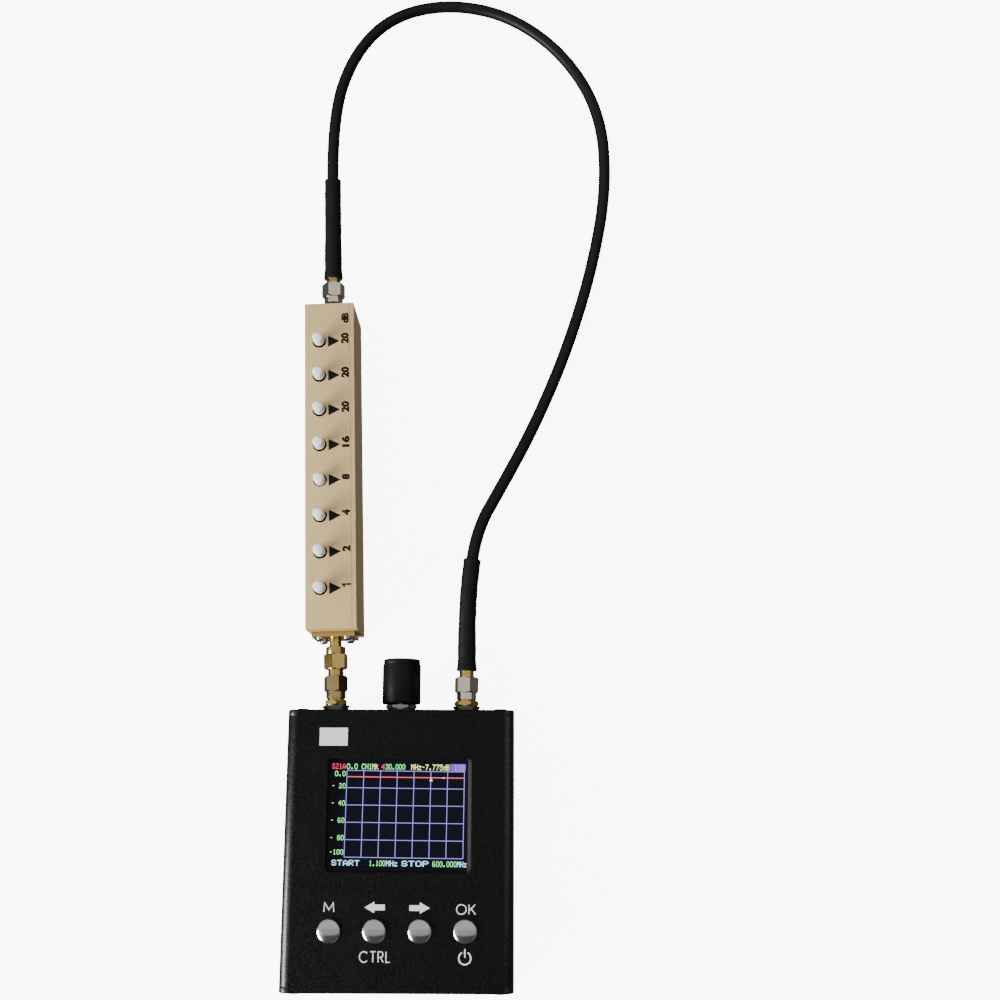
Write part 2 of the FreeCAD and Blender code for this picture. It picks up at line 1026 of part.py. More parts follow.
usb_y = "(board_lower_y + usb_depth / 2 - usb_overhang)"
usb_shell = block(
    "usb_shell_blank",
    "usb_width",
    "usb_depth",
    "usb_height",
    0,
    usb_y,
    "board_bottom - usb_height",
)
usb_room = block(
    "usb_room",
    "(usb_width - 2 * usb_shell)",
    "usb_depth",
    "usb_height - 2 * usb_shell",
    0,
    f"{usb_y} - 1.2",
    "board_bottom - usb_height + usb_shell",
)
node("usb_socket", cut("usb_socket", usb_shell, usb_room))


# Keys: chrome domes whose stems stand in the switches on the board

key_names = ("mode", "left", "right", "ok")
key_places = [f"({count} - 1.5) * key_pitch" for count in range(4)]


def key_switch(name, x):
    base = block(
        name + "_base",
        "switch_side",
        "switch_side",
        "switch_height",
        x,
        "key_row_y",
        "board_top_height",
    )
    well = rod(
        name + "_well",
        "key_stem_radius + key_stem_gap",
        "switch_height",
        x,
        "key_row_y",
        "board_top_height + switch_floor",
        True,
    )
    return cut(name, base, well)


def key_cap(name, x):
    barrel = rod(
        name + "_barrel",
        "key_radius",
        "case_depth + key_rise - key_flange_z",
        x,
        "key_row_y",
        "key_flange_z",
        True,
    )
    ball = doc.addObject("Part::Sphere", name + "_ball")
    ball_radius = "(key_radius * key_radius + key_dome_height * key_dome_height) / (2 * key_dome_height)"
    bind(ball, "Radius", ball_radius)
    place(ball, x, "key_row_y", f"case_depth + key_rise - ({ball_radius})")
    flange = rod(
        name + "_flange",
        "key_flange_radius",
        "key_flange_thickness",
        x,
        "key_row_y",
        "key_flange_z",
        True,
    )
    stem = rod(
        name + "_stem",
        "key_stem_radius",
        "key_flange_z - key_stem_z",
        x,
        "key_row_y",
        "key_stem_z",
        True,
    )
    return fuse(name, overlap(name + "_dome", barrel, ball), flange, stem)


node("key_switches", *(key_switch(f"switch_{name}", x) for name, x in zip(key_names, key_places)))
for name, x in zip(key_names, key_places):
    node(f"key_cap_{name}", key_cap(f"key_cap_{name}", x))


# Rotary encoder with its push shaft and knob, on the axis at ports_centre and port_height

axis = ("ports_centre", "port_height")


def encoder_rod(name, radius, length, y):
    return rod(name, radius, length, axis[0], y, axis[1])


encoder_body = block(
    "encoder_box",
    "encoder_width",
    "encoder_length",
    "encoder_height",
    "ports_centre",
    "(encoder_back + encoder_length / 2)",
    "port_height - encoder_height / 2",
)
encoder_terminals = block(
    "encoder_terminals",
    "encoder_width / 2",
    "board_encoder_gap",
    "board_thickness / 2",
    "ports_centre",
    "(encoder_back - board_encoder_gap / 2)",
    "board_bottom + board_thickness / 4",
)
encoder_bushing = encoder_rod(
    "encoder_bushing",
    "bushing_radius",
    "bushing_reach + end_plate_thickness + 1",
    "plate_inside - 1",
)
encoder_bore = encoder_rod("encoder_bore", "shaft_radius + shaft_gap", "case_length", "encoder_back")
encoder_well = encoder_rod(
    "encoder_well",
    "detent_radius + detent_gap",
    "detent_length + detent_gap",
    "encoder_back",
)
node(
    "encoder_housing",
    cut(
        "encoder_housing",
        fuse("encoder_outside", encoder_body, encoder_terminals, encoder_bushing),
        encoder_bore,
        encoder_well,
    ),
)
detent_disc = encoder_rod("detent_disc", "detent_radius", "detent_length", "encoder_back")
detent_bore = encoder_rod("detent_bore", "shaft_radius + shaft_gap", "detent_length", "encoder_back")
node("encoder_detent_ring", cut("encoder_detent_ring", detent_disc, detent_bore))
node(
    "encoder_shaft",
    encoder_rod(
        "encoder_shaft",
        "shaft_radius",
        "knob_y + knob_length - knob_roof - shaft_gap - (encoder_back + press_travel + detent_gap)",
        "encoder_back + press_travel + detent_gap",
    ),
)
washer_disc = encoder_rod(
    "encoder_washer_disc",
    "encoder_washer_radius",
    "encoder_washer_thickness",
    "encoder_washer_y",
)
washer_bore = encoder_rod(
    "encoder_washer_bore",
    "bushing_radius + thread_gap",
    "encoder_washer_thickness",
    "encoder_washer_y",
)
node("encoder_washer", cut("encoder_washer", washer_disc, washer_bore))
encoder_nut = cut(
    "encoder_nut",
    chamfered_hexagon("encoder_nut_blank", "encoder_nut_flats", "encoder_nut_thickness"),
    rod("encoder_nut_bore", "bushing_radius + thread_gap", "encoder_nut_thickness"),
)
node("encoder_nut", place(encoder_nut, "ports_centre", "encoder_nut_y", "port_height"))

knob_skirt_length = "knob_length - knob_cap_length - knob_edge"
knob = cut(
    "encoder_knob",
    fuse(
        "knob_outside",
        rod("knob_skirt", "knob_radius", knob_skirt_length),
        taper("knob_step", "knob_radius", "knob_cap_radius", "knob_edge", y=knob_skirt_length),
        rod(
            "knob_cap",
            "knob_cap_radius",
            "knob_cap_length - knob_edge",
            y=f"{knob_skirt_length} + knob_edge",
        ),
        taper(
            "knob_rim",
            "knob_cap_radius",
            "knob_cap_radius - knob_edge",
            "knob_edge",
            y="knob_length - knob_edge",
        ),
    ),
    rod("knob_recess", "encoder_nut_flats / sqrt(3) + 10 * knob_nut_gap", "knob_recess_depth"),
    rod("knob_bushing_room", "bushing_radius + 4 * shaft_gap", "knob_cavity"),
    rod("knob_bore", "shaft_radius + shaft_gap / 2", "knob_length - knob_roof"),
)
node("encoder_knob", place(knob, "ports_centre", "knob_y", "port_height"))


# Threaded coax connectors. Each is drawn with its mating face at y = 0: a socket lies behind it,
# and a plug lies in front of it with its sleeve reaching into the socket


def socket_core(name):
    """The insulator and the contact tube of a socket."""
    insulator = cut(
        name + "_insulator",
        rod(
            name + "_insulator_rod",
            "insulator_radius - seam_gap",
            "insulator_length",
            y="-socket_bore_depth - insulator_length",
        ),
        rod(
            name + "_insulator_bore",
            "contact_radius + seam_gap / 2",
            "insulator_length",
            y="-socket_bore_depth - insulator_length",
        ),
    )
    contact = cut(
        name + "_contact",
        rod(
            name + "_contact_rod",
            "contact_radius",
            "insulator_length",
            y="-socket_bore_depth - insulator_length",
        ),
        rod(
            name + "_contact_bore",
            "contact_bore",
            "pin_reach",
            y="-socket_bore_depth - pin_reach",
        ),
    )
    return insulator, contact


def socket_bores(name):
    return (
        rod(name + "_mouth", "socket_bore_radius", "socket_bore_depth", y="-socket_bore_depth"),
        rod(
            name + "_throat",
            "insulator_radius",
            "insulator_length + seam_gap",
            y="-socket_bore_depth - insulator_length - seam_gap",
        ),
    )


def panel_socket(name):
    """Threaded barrel through the panel, with the block that is soldered under the board."""
    inside = "port_reach + end_plate_thickness + 3 * seam_gap"
    barrel = rod(name + "_barrel", "thread_radius", inside, y=f"-({inside})")
    rear = block(
        name + "_block",
        "port_block_width",
        "port_block_length",
        "2 * (board_bottom - port_height)",
        0,
        f"-({inside}) - port_block_length / 2",
        "-(board_bottom - port_height)",
    )
    return cut(name, fuse(name + "_outside", barrel, rear), *socket_bores(name))


def flanged_socket(name):
    """Threaded barrel on a thin neck, a square flange and a spigot into the end wall."""
    thread = "attenuator_port_reach - neck_length"
    flange_back = "attenuator_port_reach + flange_thickness"
    outside = fuse(
        name + "_outside",
        rod(name + "_thread", "thread_radius", thread, y=f"-({thread})"),
        rod(
            name + "_neck",
            "neck_radius",
            f"{flange_back} + attenuator_end_wall / 2",
            y=f"-({flange_back}) - attenuator_end_wall / 2",
        ),
        block(
            name + "_flange",
            "flange_side",
            "flange_thickness",
            "flange_side",
            0,
            "-(attenuator_port_reach + flange_thickness / 2)",
            "-flange_side / 2",
        ),
    )
    holes = [
        rod(
            f"{name}_hole_{across}_{up}",
            "flange_screw_radius + screw_gap",
            "flange_thickness",
            f"{across} * flange_screw_spacing / 2",
            f"-({flange_back})",
            f"{up} * flange_screw_spacing / 2",
        )
        for across in (-1, 1)
        for up in (-1, 1)
    ]
    return cut(name, outside, *socket_bores(name), *holes)


def plug_front(name, neck_radius, neck_end):
    """The sleeve, the flange that the coupling nut pulls on, and the neck behind it."""
    return [
        rod(
            name + "_sleeve",
            "plug_sleeve_radius",
            "plug_sleeve_length + plug_flange_thickness",
            y="seat_gap - plug_sleeve_length",
        ),
        rod(name + "_flange", "plug_flange_radius", "plug_flange_thickness", y="seat_gap"),
        rod(name + "_neck", neck_radius, f"{neck_end} - seat_gap", y="seat_gap"),
    ]


def coupling_nut(name, depth, neck_radius):
    """A hexagon nut with a round collar at its open end, which lies at y = -depth."""
    rim = f"(-{depth})"
    blank = fuse(
        name + "_blank",
        rod(name + "_collar", "coupling_round_radius", "coupling_round_length + 0.5", y=rim),
        place(
            chamfered_hexagon(
                name + "_hexagon",
                "coupling_flats",
                "(coupling_length - coupling_round_length)",
            ),
            0,
            f"{rim} + coupling_round_length",
            0,
        ),
    )
    room = rod(
        name + "_thread",
        "thread_radius + thread_gap",
        f"{depth} + seat_gap + plug_flange_thickness + thread_gap",
        y=rim,
    )
    neck = rod(name + "_neck_hole", f"{neck_radius} + thread_gap", "coupling_length", y=rim)
    return cut(name, blank, room, neck)


left_tip, lower_tip = "port_reach", "adapter_upper_tip"
insulators, contacts = [], []

node(
    "port_sockets",
    on_left_chain(panel_socket("left_socket"), left_tip),
    on_right_port(panel_socket("right_socket"), "port_reach"),
)
for insulator_or_contact, group in zip(socket_core("left_socket_core"), (insulators, contacts)):
    group.append(on_left_chain(insulator_or_contact, left_tip))
for insulator_or_contact, group in zip(socket_core("right_socket_core"), (insulators, contacts)):
    group.append(on_right_port(insulator_or_contact, "port_reach"))


def washer(name, radius, thickness):
    return cut(
        name,
        rod(name + "_disc", radius, thickness),
        rod(name + "_bore", "thread_radius + thread_gap", thickness),
    )


def port_nut(name):
    return cut(
        name,
        chamfered_hexagon(name + "_blank", "port_nut_flats", "port_nut_thickness"),
        rod(name + "_bore", "thread_radius + thread_gap", "port_nut_thickness"),
    )


# A leaning washer needs this much room under its low side
lean_room = "lock_washer_radius * sin(chain_lean * 1deg) + seam_gap"
flat_washer_place = "lock_washer_thickness + seam_gap / 2"
port_nut_place = "lock_washer_thickness + flat_washer_thickness + seam_gap"
washers, port_nuts = [], []
for side, put, start in (
    ("left", on_left_chain, lean_room),
    ("right", on_right_port, "seam_gap"),
):
    washers.append(
        put(washer(side + "_lock_washer", "lock_washer_radius", "lock_washer_thickness"), start),
    )
    washers.append(
        put(
            washer(side + "_flat_washer", "flat_washer_radius", "flat_washer_thickness"),
            f"{start} + {flat_washer_place}",
        )
    )
    port_nuts.append(put(port_nut(side + "_port_nut"), f"{start} + {port_nut_place}"))
node("port_washers", *washers)
node("port_nuts", *port_nuts)


# Adapter: two plugs back to back, each with its own coupling nut

adapter_span = "(adapter_upper_tip - port_reach)"
adapter_middle = f"{adapter_span} / 2"
lower_half = fuse(
    "adapter_lower_half",
    *plug_front("adapter_lower", "adapter_neck_radius", adapter_middle),
)
upper_half = fuse(
    "adapter_upper_half",
    *plug_front("adapter_upper", "adapter_neck_radius", adapter_middle),
)
upper_half.Placement = Placement(Vector(), Rotation(Vector(0, 0, 1), 180))
place(upper_half, 0, adapter_span, 0)
adapter_bore_length = f"{adapter_span} + 2 * plug_sleeve_length - 2 * seat_gap"
adapter_body = cut(
    "adapter_body",
    fuse("adapter_outside", lower_half, upper_half),
    rod("adapter_bore", "insulator_radius", adapter_bore_length, y="seat_gap - plug_sleeve_length"),
)
node("adapter_body", on_left_chain(adapter_body, left_tip))
adapter_insulator = cut(
    "adapter_insulator",
    rod(
        "adapter_insulator_rod",
        "insulator_radius - seam_gap",
        adapter_bore_length,
        y="seat_gap - plug_sleeve_length",
    ),
    rod(
        "adapter_insulator_bore",
        "pin_radius + seam_gap / 2",
        adapter_bore_length,
        y="seat_gap - plug_sleeve_length",
    ),
)
insulators.append(on_left_chain(adapter_insulator, left_tip))
pin_start = "(socket_bore_depth + pin_reach - pin_tip_length - 4 * seat_gap)"
adapter_pin = fuse(
    "adapter_pin",
    rod("adapter_pin_rod", "pin_radius", f"{adapter_span} + 2 * {pin_start}", y=f"-{pin_start}"),
    taper(
        "adapter_pin_tip",
        "pin_tip_radius",
        "pin_radius",
        "pin_tip_length",
        y=f"-{pin_start} - pin_tip_length",
    ),
    taper(
        "adapter_pin_tail",
        "pin_radius",
        "pin_tip_radius",
        "pin_tip_length",
        y=f"{adapter_span} + {pin_start}",
    ),
)
contacts.append(on_left_chain(adapter_pin, left_tip))
lower_nut = coupling_nut("adapter_nut_lower", "adapter_nut_depth", "adapter_neck_radius")
upper_nut = coupling_nut("adapter_nut_upper", "adapter_nut_depth", "adapter_neck_radius")
node("adapter_nut_lower", on_left_chain(lower_nut, left_tip))
node("adapter_nut_upper", on_left_chain(upper_nut, lower_tip, facing_back=True))


# Step attenuator: a milled channel closed by a front and a back cover, in its own frame with
# y = 0 at its lower end and z = 0 on the connectors' axis


def on_attenuator(thing):
    return on_left_chain(thing, "attenuator_start")


half_length = "attenuator_length / 2"
channel = new_body("attenuator_body")
pad(
    channel,
    "channel_blank",
    rectangle(
        channel,
        "channel_outline",
        "XY_Plane",
        "attenuator_width",
        "attenuator_length",
        0,
        half_length,
        "-(front_face)",
    ),
    "attenuator_depth",
)
pocket(
    channel,
    "channel_cavity",
    rectangle(
        channel,
        "cavity_outline",
        "XY_Plane",
        "attenuator_width - 2 * attenuator_wall",
        "attenuator_length - 2 * attenuator_end_wall",
        0,
        half_length,
        "front_face",
    ),
    "attenuator_depth",
)
for name, level in (("front", "front_face"), ("back", "cover_thickness - front_face")):
    seat = rectangle(
        channel,
        name + "_seat_outline",
        "XY_Plane",
        "attenuator_width - attenuator_wall",
        "attenuator_length",
        "-attenuator_wall / 2",
        half_length,
        level,
    )
    pocket(channel, name + "_cover_seat", seat, "cover_thickness")
for end, y in (("lower", 0), ("upper", "attenuator_length")):
    spigot = circle(
        channel,
        end + "_spigot_outline",
        "XZ_Plane",
        "neck_radius + seam_gap",
        0,
        0,
        f"-({y})",
    )
    pocket(channel, end + "_spigot_hole", spigot, "2 * attenuator_end_wall", both_ways=True)
    for across in (-1, 1):
        for up in (-1, 1):
            name = f"{end}_tapped_{'left' if across < 0 else 'right'}_{'back' if up < 0 else 'front'}"
            outline = circle(
                channel,
                name + "_outline",
                "XZ_Plane",
                "flange_screw_radius + screw_gap",
                f"{across} * flange_screw_spacing / 2",
                f"{up} * flange_screw_spacing / 2",
                f"-({y})",
            )
            pocket(channel, name, outline, "2 * flange_screw_length", both_ways=True)
cover_screw_y = "attenuator_end_wall / 2"
cover_screw_x = "(flange_screw_spacing / 2 + 2 * flange_screw_radius)"
cover_screw_places = [
    (f"{side}_{end}", x, y)
    for side, x in (("left", f"-{cover_screw_x} / 2"), ("right", f"{cover_screw_x} / 2"))
    for end, y in (("lower", cover_screw_y), ("upper", f"attenuator_length - {cover_screw_y}"))
]
for name, x, y in cover_screw_places:
    outline = circle(
        channel,
        f"cover_hole_{name}_outline",
        "XY_Plane",
        "cover_screw_radius + screw_gap",
        x,
        y,
        "cover_screw_length - front_face + screw_gap",
    )
    pocket(channel, f"cover_hole_{name}", outline, "cover_screw_length")
node("attenuator_body", on_attenuator(channel))

cover = new_body("attenuator_front_cover")
cover_width = "attenuator_width - attenuator_wall - cover_gap"
pad(
    cover,
    "cover_blank",
    rectangle(
        cover,
        "cover_outline",
        "XY_Plane",
        cover_width,
        "attenuator_length",
        "-(attenuator_wall + cover_gap) / 2",
        half_length,
        "front_face - cover_thickness",
    ),
    "cover_thickness",
)
button_hole = pocket(
    cover,
    "button_hole",
    circle(
        cover,
        "button_hole_outline",
        "XY_Plane",
        "button_hole_radius",
        "-button_offset",
        "button_first",
        "front_face",
    ),
    "cover_thickness + 1",
)
row_of(
    cover,
    "button_holes",
    button_hole,
    "Y_Axis",
    "(button_count - 1) * button_pitch",
    "button_count",
)
node("attenuator_front_cover", on_attenuator(cover))

back_cover_blank = block(
    "back_cover_blank",
    f"({cover_width})",
    "attenuator_length",
    "cover_thickness",
    "-(attenuator_wall + cover_gap) / 2",
    half_length,
    "-(front_face)",
)
back_cover_holes = []
for name, x, y in cover_screw_places:
    back_cover_holes.append(
        rod(
            f"back_cover_hole_{name}",
            "cover_screw_radius + screw_gap",
            "cover_thickness",
            x,
            y,
            "-(front_face)",
            True,
        )
    )
    back_cover_holes.append(
        taper(
            f"back_cover_sink_{name}",
            "cover_screw_head_radius + screw_gap",
            "cover_screw_radius + screw_gap",
            "cover_screw_head_depth",
            x,
            y,
            "-(front_face)",
            True,
        )
    )
node(
    "attenuator_back_cover",
    on_attenuator(cut("attenuator_back_cover", back_cover_blank, *back_cover_holes)),
)
node(
    "cover_screws",
    *(
        on_attenuator(
            fuse(
                f"cover_screw_{name}",
                taper(
                    f"cover_screw_{name}_head",
                    "cover_screw_head_radius",
                    "cover_screw_radius",
                    "cover_screw_head_depth",
                    x,
                    y,
                    "-(front_face)",
                    True,
                ),
                rod(
                    f"cover_screw_{name}_shank",
                    "cover_screw_radius",
                    "cover_screw_length",
                    x,
                    y,
                    "-(front_face)",
                    True,
                ),
            )
        )
        for name, x, y in cover_screw_places
    ),
)


def button_y(count):
    return f"button_first + {count} * button_pitch"


def switch_module(name, y):
    top = "front_face - cover_thickness"
    base = block(
        name + "_box",
        "module_width",
        "module_length",
        "module_height",
        "-module_offset",
        f"({y})",
        f"{top} - module_height",
    )
    well = rod(
        name + "_well",
        "button_stem_radius + button_stem_gap",
        "button_stem_length + button_travel + 4 * button_stem_gap",
        "-button_offset",
        y,
        f"{top} - button_stem_length - button_travel - 4 * button_stem_gap",
        True,
    )
    skirt_room = rod(
        name + "_skirt_room",
        "button_radius + button_stem_gap",
        "button_travel + button_skirt",
        "-button_offset",
        y,
        f"{top} - button_travel - button_skirt",
        True,
    )
    return cut(name, base, well, skirt_room)


def push_button(name, y, sunk):
    """A white cap with a shallow dome, and the stem under it."""
    top = f"front_face + button_rise - ({sunk})"
    barrel_length = "button_rise + cover_thickness + button_skirt / 2"
    barrel = rod(
        name + "_barrel",
        "button_radius",
        barrel_length,
        "-button_offset",
        y,
        f"{top} - ({barrel_length})",
        True,
    )
    ball = doc.addObject("Part::Sphere", name + "_ball")
    ball_radius = "(button_radius * button_radius + button_dome * button_dome) / (2 * button_dome)"
    bind(ball, "Radius", ball_radius)
    place(ball, "-button_offset", y, f"{top} - ({ball_radius})")
    reach = doc.addObject("Part::Cylinder", name + "_below_dome")
    bind(reach, "Radius", "button_radius")
    bind(reach, "Height", f"{barrel_length} - button_dome")
    place(reach, "-button_offset", y, f"{top} - ({barrel_length})")
    stem = rod(
        name + "_stem",
        "button_stem_radius",
        "button_stem_length",
        "-button_offset",
        y,
        f"{top} - ({barrel_length}) - button_stem_length + button_skirt / 2",
        True,
    )
    return fuse(name, overlap(name + "_dome", barrel, ball), reach, stem)


node(
    "attenuator_switches",
    *(on_attenuator(switch_module(f"module_{count}", button_y(count))) for count in range(8)),
)
resistor_board_z = "front_face - cover_thickness - module_height - resistor_board_thickness"
resistor_board = block(
    "resistor_board",
    "resistor_board_width",
    "resistor_board_length",
    "resistor_board_thickness",
    0,
    half_length,
    resistor_board_z,
)
resistors = [
    block(
        f"resistor_{count}",
        "resistor_width",
        "resistor_length",
        "resistor_height",
        0,
        f"({button_y(count)})",
        f"{resistor_board_z} - resistor_height",
    )
    for count in range(8)
]
node("attenuator_board", on_attenuator(fuse("attenuator_board", resistor_board, *resistors)))
button_steps = ("1db", "2db", "4db", "8db", "16db", "20db_first", "20db_second", "20db_third")
for count, step in enumerate(button_steps):
    sunk = "button_latched" if step == "8db" else 0
    name = "attenuator_button_" + step
    node(name, on_attenuator(push_button(name, button_y(count), sunk)))

upper_tip = "attenuator_upper_tip"
node(
    "attenuator_ports",
    on_left_chain(flanged_socket("lower_port"), lower_tip, facing_back=True),
    on_left_chain(flanged_socket("upper_port"), upper_tip),
)
for part, group in zip(socket_core("lower_port_core"), (insulators, contacts)):
    group.append(on_left_chain(part, lower_tip, facing_back=True))
for part, group in zip(socket_core("upper_port_core"), (insulators, contacts)):
    group.append(on_left_chain(part, upper_tip))


def flange_screw(name, across, up):
    x, z = f"{across} * flange_screw_spacing / 2", f"{up} * flange_screw_spacing / 2"
    face = "-attenuator_port_reach"
    head = rod(name + "_head", "flange_screw_head_radius", "flange_screw_head_height", x, face, z)
    slot = block(
        name + "_slot",
        "3 * flange_screw_head_radius",
        "flange_screw_head_height / 2",
        "flange_screw_head_radius / 3",
        f"{x}",
        f"({face} + flange_screw_head_height * 0.75)",
        f"{z} - flange_screw_head_radius / 6",
    )
    shank = rod(
        name + "_shank",
        "flange_screw_radius",
        "flange_screw_length",
        x,
        f"{face} - flange_screw_length",
        z,
    )
    return fuse(name, cut(name + "_slotted", head, slot), shank)


flange_screws = []
for end, tip, back in (("lower", lower_tip, True), ("upper", upper_tip, False)):
    for across in (-1, 1):
        for up in (-1, 1):
            name = f"flange_screw_{end}_{'left' if across < 0 else 'right'}_{'back' if up < 0 else 'front'}"
            flange_screws.append(on_left_chain(flange_screw(name, across, up), tip, back))
node("flange_screws", *flange_screws)


# Coax jumper: two plugs, their nuts and boots, the cable's ends inside the boots, the free cable


def jumper_plug(name):
    body = fuse(
        name + "_outside",
        *plug_front(name, "plug_neck_radius", "plug_neck_end"),
        rod(name + "_ferrule", "ferrule_radius", "ferrule_length", y="plug_neck_end"),
    )
    insulator_bore = rod(
        name + "_bore", "insulator_radius", "insulator_length", y="seat_gap - plug_sleeve_length"
    )
    cable_bore = rod(
        name + "_cable_bore",
        "cable_radius + sleeve_gap",
        "ferrule_length",
        y="plug_neck_end",
    )
    return cut(name, body, insulator_bore, cable_bore)


def jumper_core(name):
    insulator = cut(
        name + "_insulator",
        rod(
            name + "_insulator_rod",
            "insulator_radius - seam_gap",
            "insulator_length",
            y="seat_gap - plug_sleeve_length",
        ),
        rod(
            name + "_insulator_bore",
            "pin_radius + seam_gap / 2",
            "insulator_length",
            y="seat_gap - plug_sleeve_length",
        ),
    )
    pin = fuse(
        name + "_pin",
        rod(
            name + "_pin_rod",
            "pin_radius",
            f"{pin_start} + seat_gap + insulator_length - plug_sleeve_length",
            y=f"-{pin_start}",
        ),
        taper(
            name + "_pin_tip",
            "pin_tip_radius",
            "pin_radius",
            "pin_tip_length",
            y=f"-{pin_start} - pin_tip_length",
        ),
    )
    return insulator, pin


def bent_rod(name, radius):
    """A rod along the boot's bend: it leaves along +Y and turns towards +X."""
    ring = doc.addObject("Part::Torus", name)
    ring.Placement = Placement(Vector(), Rotation(Vector(0, 0, 1), 180))
    bind(ring, "Radius1", "boot_bend_radius")
    bind(ring, "Radius2", radius)
    bind(ring, "Angle3", "boot_bend_angle")
    bind(ring, "Placement.Rotation.Angle", "180 - boot_bend_angle")
    return place(ring, "boot_bend_radius", "plug_neck_end + boot_shoulder_length", 0)


def boot_end(name, radius, bent):
    start = "plug_neck_end + boot_shoulder_length"
    return bent_rod(name, radius) if bent else rod(name, radius, "boot_bend_length", y=start)


def shrink_boot(name, bent):
    outside = fuse(
        name + "_outside",
        rod(name + "_flare", "boot_flare_radius", "boot_flare_length", y="plug_neck_end"),
        rod(name + "_shoulder", "boot_shoulder_radius", "boot_shoulder_length", y="plug_neck_end"),
        boot_end(name + "_sleeve", "boot_radius", bent),
    )
    return cut(
        name,
        outside,
        rod(
            name + "_ferrule_room",
            "ferrule_radius + sleeve_gap",
            "ferrule_length + sleeve_gap",
            y="plug_neck_end",
        ),
        rod(
            name + "_cable_room",
            "cable_radius + sleeve_gap",
            "boot_shoulder_length",
            y="plug_neck_end",
        ),
        boot_end(name + "_cable_bend", "cable_radius + sleeve_gap", bent),
    )


def cable_end(name, bent):
    return fuse(
        name,
        rod(
            name + "_straight",
            "cable_radius",
            "boot_shoulder_length - sleeve_gap",
            y="plug_neck_end + sleeve_gap",
        ),
        boot_end(name + "_bend", "cable_radius", bent),
    )


def both_ends(label, left, right):
    node(label, on_left_chain(left, upper_tip), on_right_port(right, "port_reach"))


both_ends("jumper_plugs", jumper_plug("left_plug"), jumper_plug("right_plug"))
both_ends("shrink_boots", shrink_boot("left_boot", False), shrink_boot("right_boot", True))
both_ends("cable_ends", cable_end("left_cable_end", False), cable_end("right_cable_end", True))
left_core, right_core = jumper_core("left_plug_core"), jumper_core("right_plug_core")
for part, group in zip(left_core, (insulators, contacts)):
    group.append(on_left_chain(part, upper_tip))
for part, group in zip(right_core, (insulators, contacts)):
    group.append(on_right_port(part, "port_reach"))
node("connector_insulators", *insulators)
node("connector_pins", *contacts)
left_nut = coupling_nut("jumper_nut_left", "jumper_nut_depth", "plug_neck_radius")
right_nut = coupling_nut("jumper_nut_right", "jumper_nut_depth", "plug_neck_radius")
node("jumper_nut_left", on_left_chain(left_nut, upper_tip))
node("jumper_nut_right", on_right_port(right_nut, "port_reach"))

# The free cable comes down from the left boot to the table, loops over and climbs to the right
# boot. The points between the two boots were chosen by hand
lean = math.radians(value_of("chain_lean"))
left_boot_end = value_of("attenuator_upper_tip + plug_neck_end + boot_length")
bend = math.radians(value_of("boot_bend_angle"))
bend_radius = value_of("boot_bend_radius")
cable_start = Vector(
    value_of("left_port_x") - left_boot_end * math.sin(lean),
    value_of("panel") + left_boot_end * math.cos(lean),
    value_of("port_height"),
)
cable_finish = Vector(
    value_of("right_port_x") + bend_radius * (1 - math.cos(bend)),
    value_of(
        "panel + port_reach + plug_neck_end + boot_shoulder_length",
    ) + bend_radius * math.sin(bend),
    value_of("port_height"),
)
cable_points = [
    cable_start,
    Vector(-33.9, 293.6, 14.2),
    Vector(-26.2, 324.4, 9.6),
    Vector(-10.9, 345.1, 4.4),
    Vector(12.9, 352.0, 2.6),
    Vector(39.2, 346.3, 2.6),
    Vector(62.3, 328.0, 2.6),
    Vector(77.3, 301.1, 2.6),
    Vector(79.6, 267.9, 2.6),
    Vector(73.4, 231.7, 2.6),
    Vector(62.7, 195.9, 3.0),
    Vector(49.7, 163.6, 6.0),
    Vector(36.6, 137.2, 11.2),
    Vector(26.8, 118.9, 14.3),
    cable_finish,
]


def cable_path(points, share=0.45):
    """Straight runs joined by tangent arcs, each as large as its shorter run allows."""
    edges, radii, at = [], [], points[0]
    for before, corner, after in zip(points, points[1:], points[2:]):
        back, ahead = before - corner, after - corner
        reach = share * min(back.Length, ahead.Length)
        turn = math.pi - back.getAngle(ahead)
        radius = reach / math.tan(turn / 2)
        first = corner + Vector(back).normalize() * reach
        last = corner + Vector(ahead).normalize() * reach
        inward = (Vector(back).normalize() + Vector(ahead).normalize()).normalize()
        middle = corner + inward * (math.hypot(radius, reach) - radius)
        edges.append(Part.LineSegment(at, first).toShape())
        edges.append(Part.Arc(first, middle, last).toShape())
        radii.append(round(radius, 1))
        at = last
    edges.append(Part.LineSegment(at, points[-1]).toShape())
    return Part.Wire(edges), radii


cable_wire, cable_radii = cable_path(cable_points)
cable_radius = value_of("cable_radius")
section = Part.Wire(
    Part.Circle(cable_points[0], cable_points[1] - cable_points[0], cable_radius).toShape(),
)
cable = doc.addObject("Part::Feature", "coax_cable")
cable.Shape = cable_wire.makePipeShell([section], True, False)
cable.Placement = Placement()
node("coax_cable", cable)

# Everything is checked before anything is written
doc.recompute()
for thing in doc.Objects:
    assert not {"Invalid", "Error"} & set(thing.State), f"{thing.Label} failed"
for part in nodes:
    assert not part.Shape.isNull() and part.Shape.isValid(), f"{part.Label} has no valid shape"
    assert part.Shape.Solids and part.Shape.Volume > 0, f"{part.Label} holds no solid"

swept = math.pi * cable_radius**2 * cable_wire.Length
print("cable length", round(cable_wire.Length, 1), "bend radii", cable_radii)
print("cable volume", round(cable.Shape.Volume, 1), "section times length", round(swept, 1))
runs = [round((b - a).Length, 1) for a, b in zip(cable_points, cable_points[1:])]
print("cable runs", runs, "start", cable_points[0], "finish", cable_points[-1])

os.makedirs("parts", exist_ok=True)
for part in nodes:
    part.Shape.exportStep(f"parts/{part.Label}.step")
print(len(nodes), "nodes written")
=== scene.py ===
import math

import bmesh
import bpy
from mathutils import Euler, Matrix, Vector


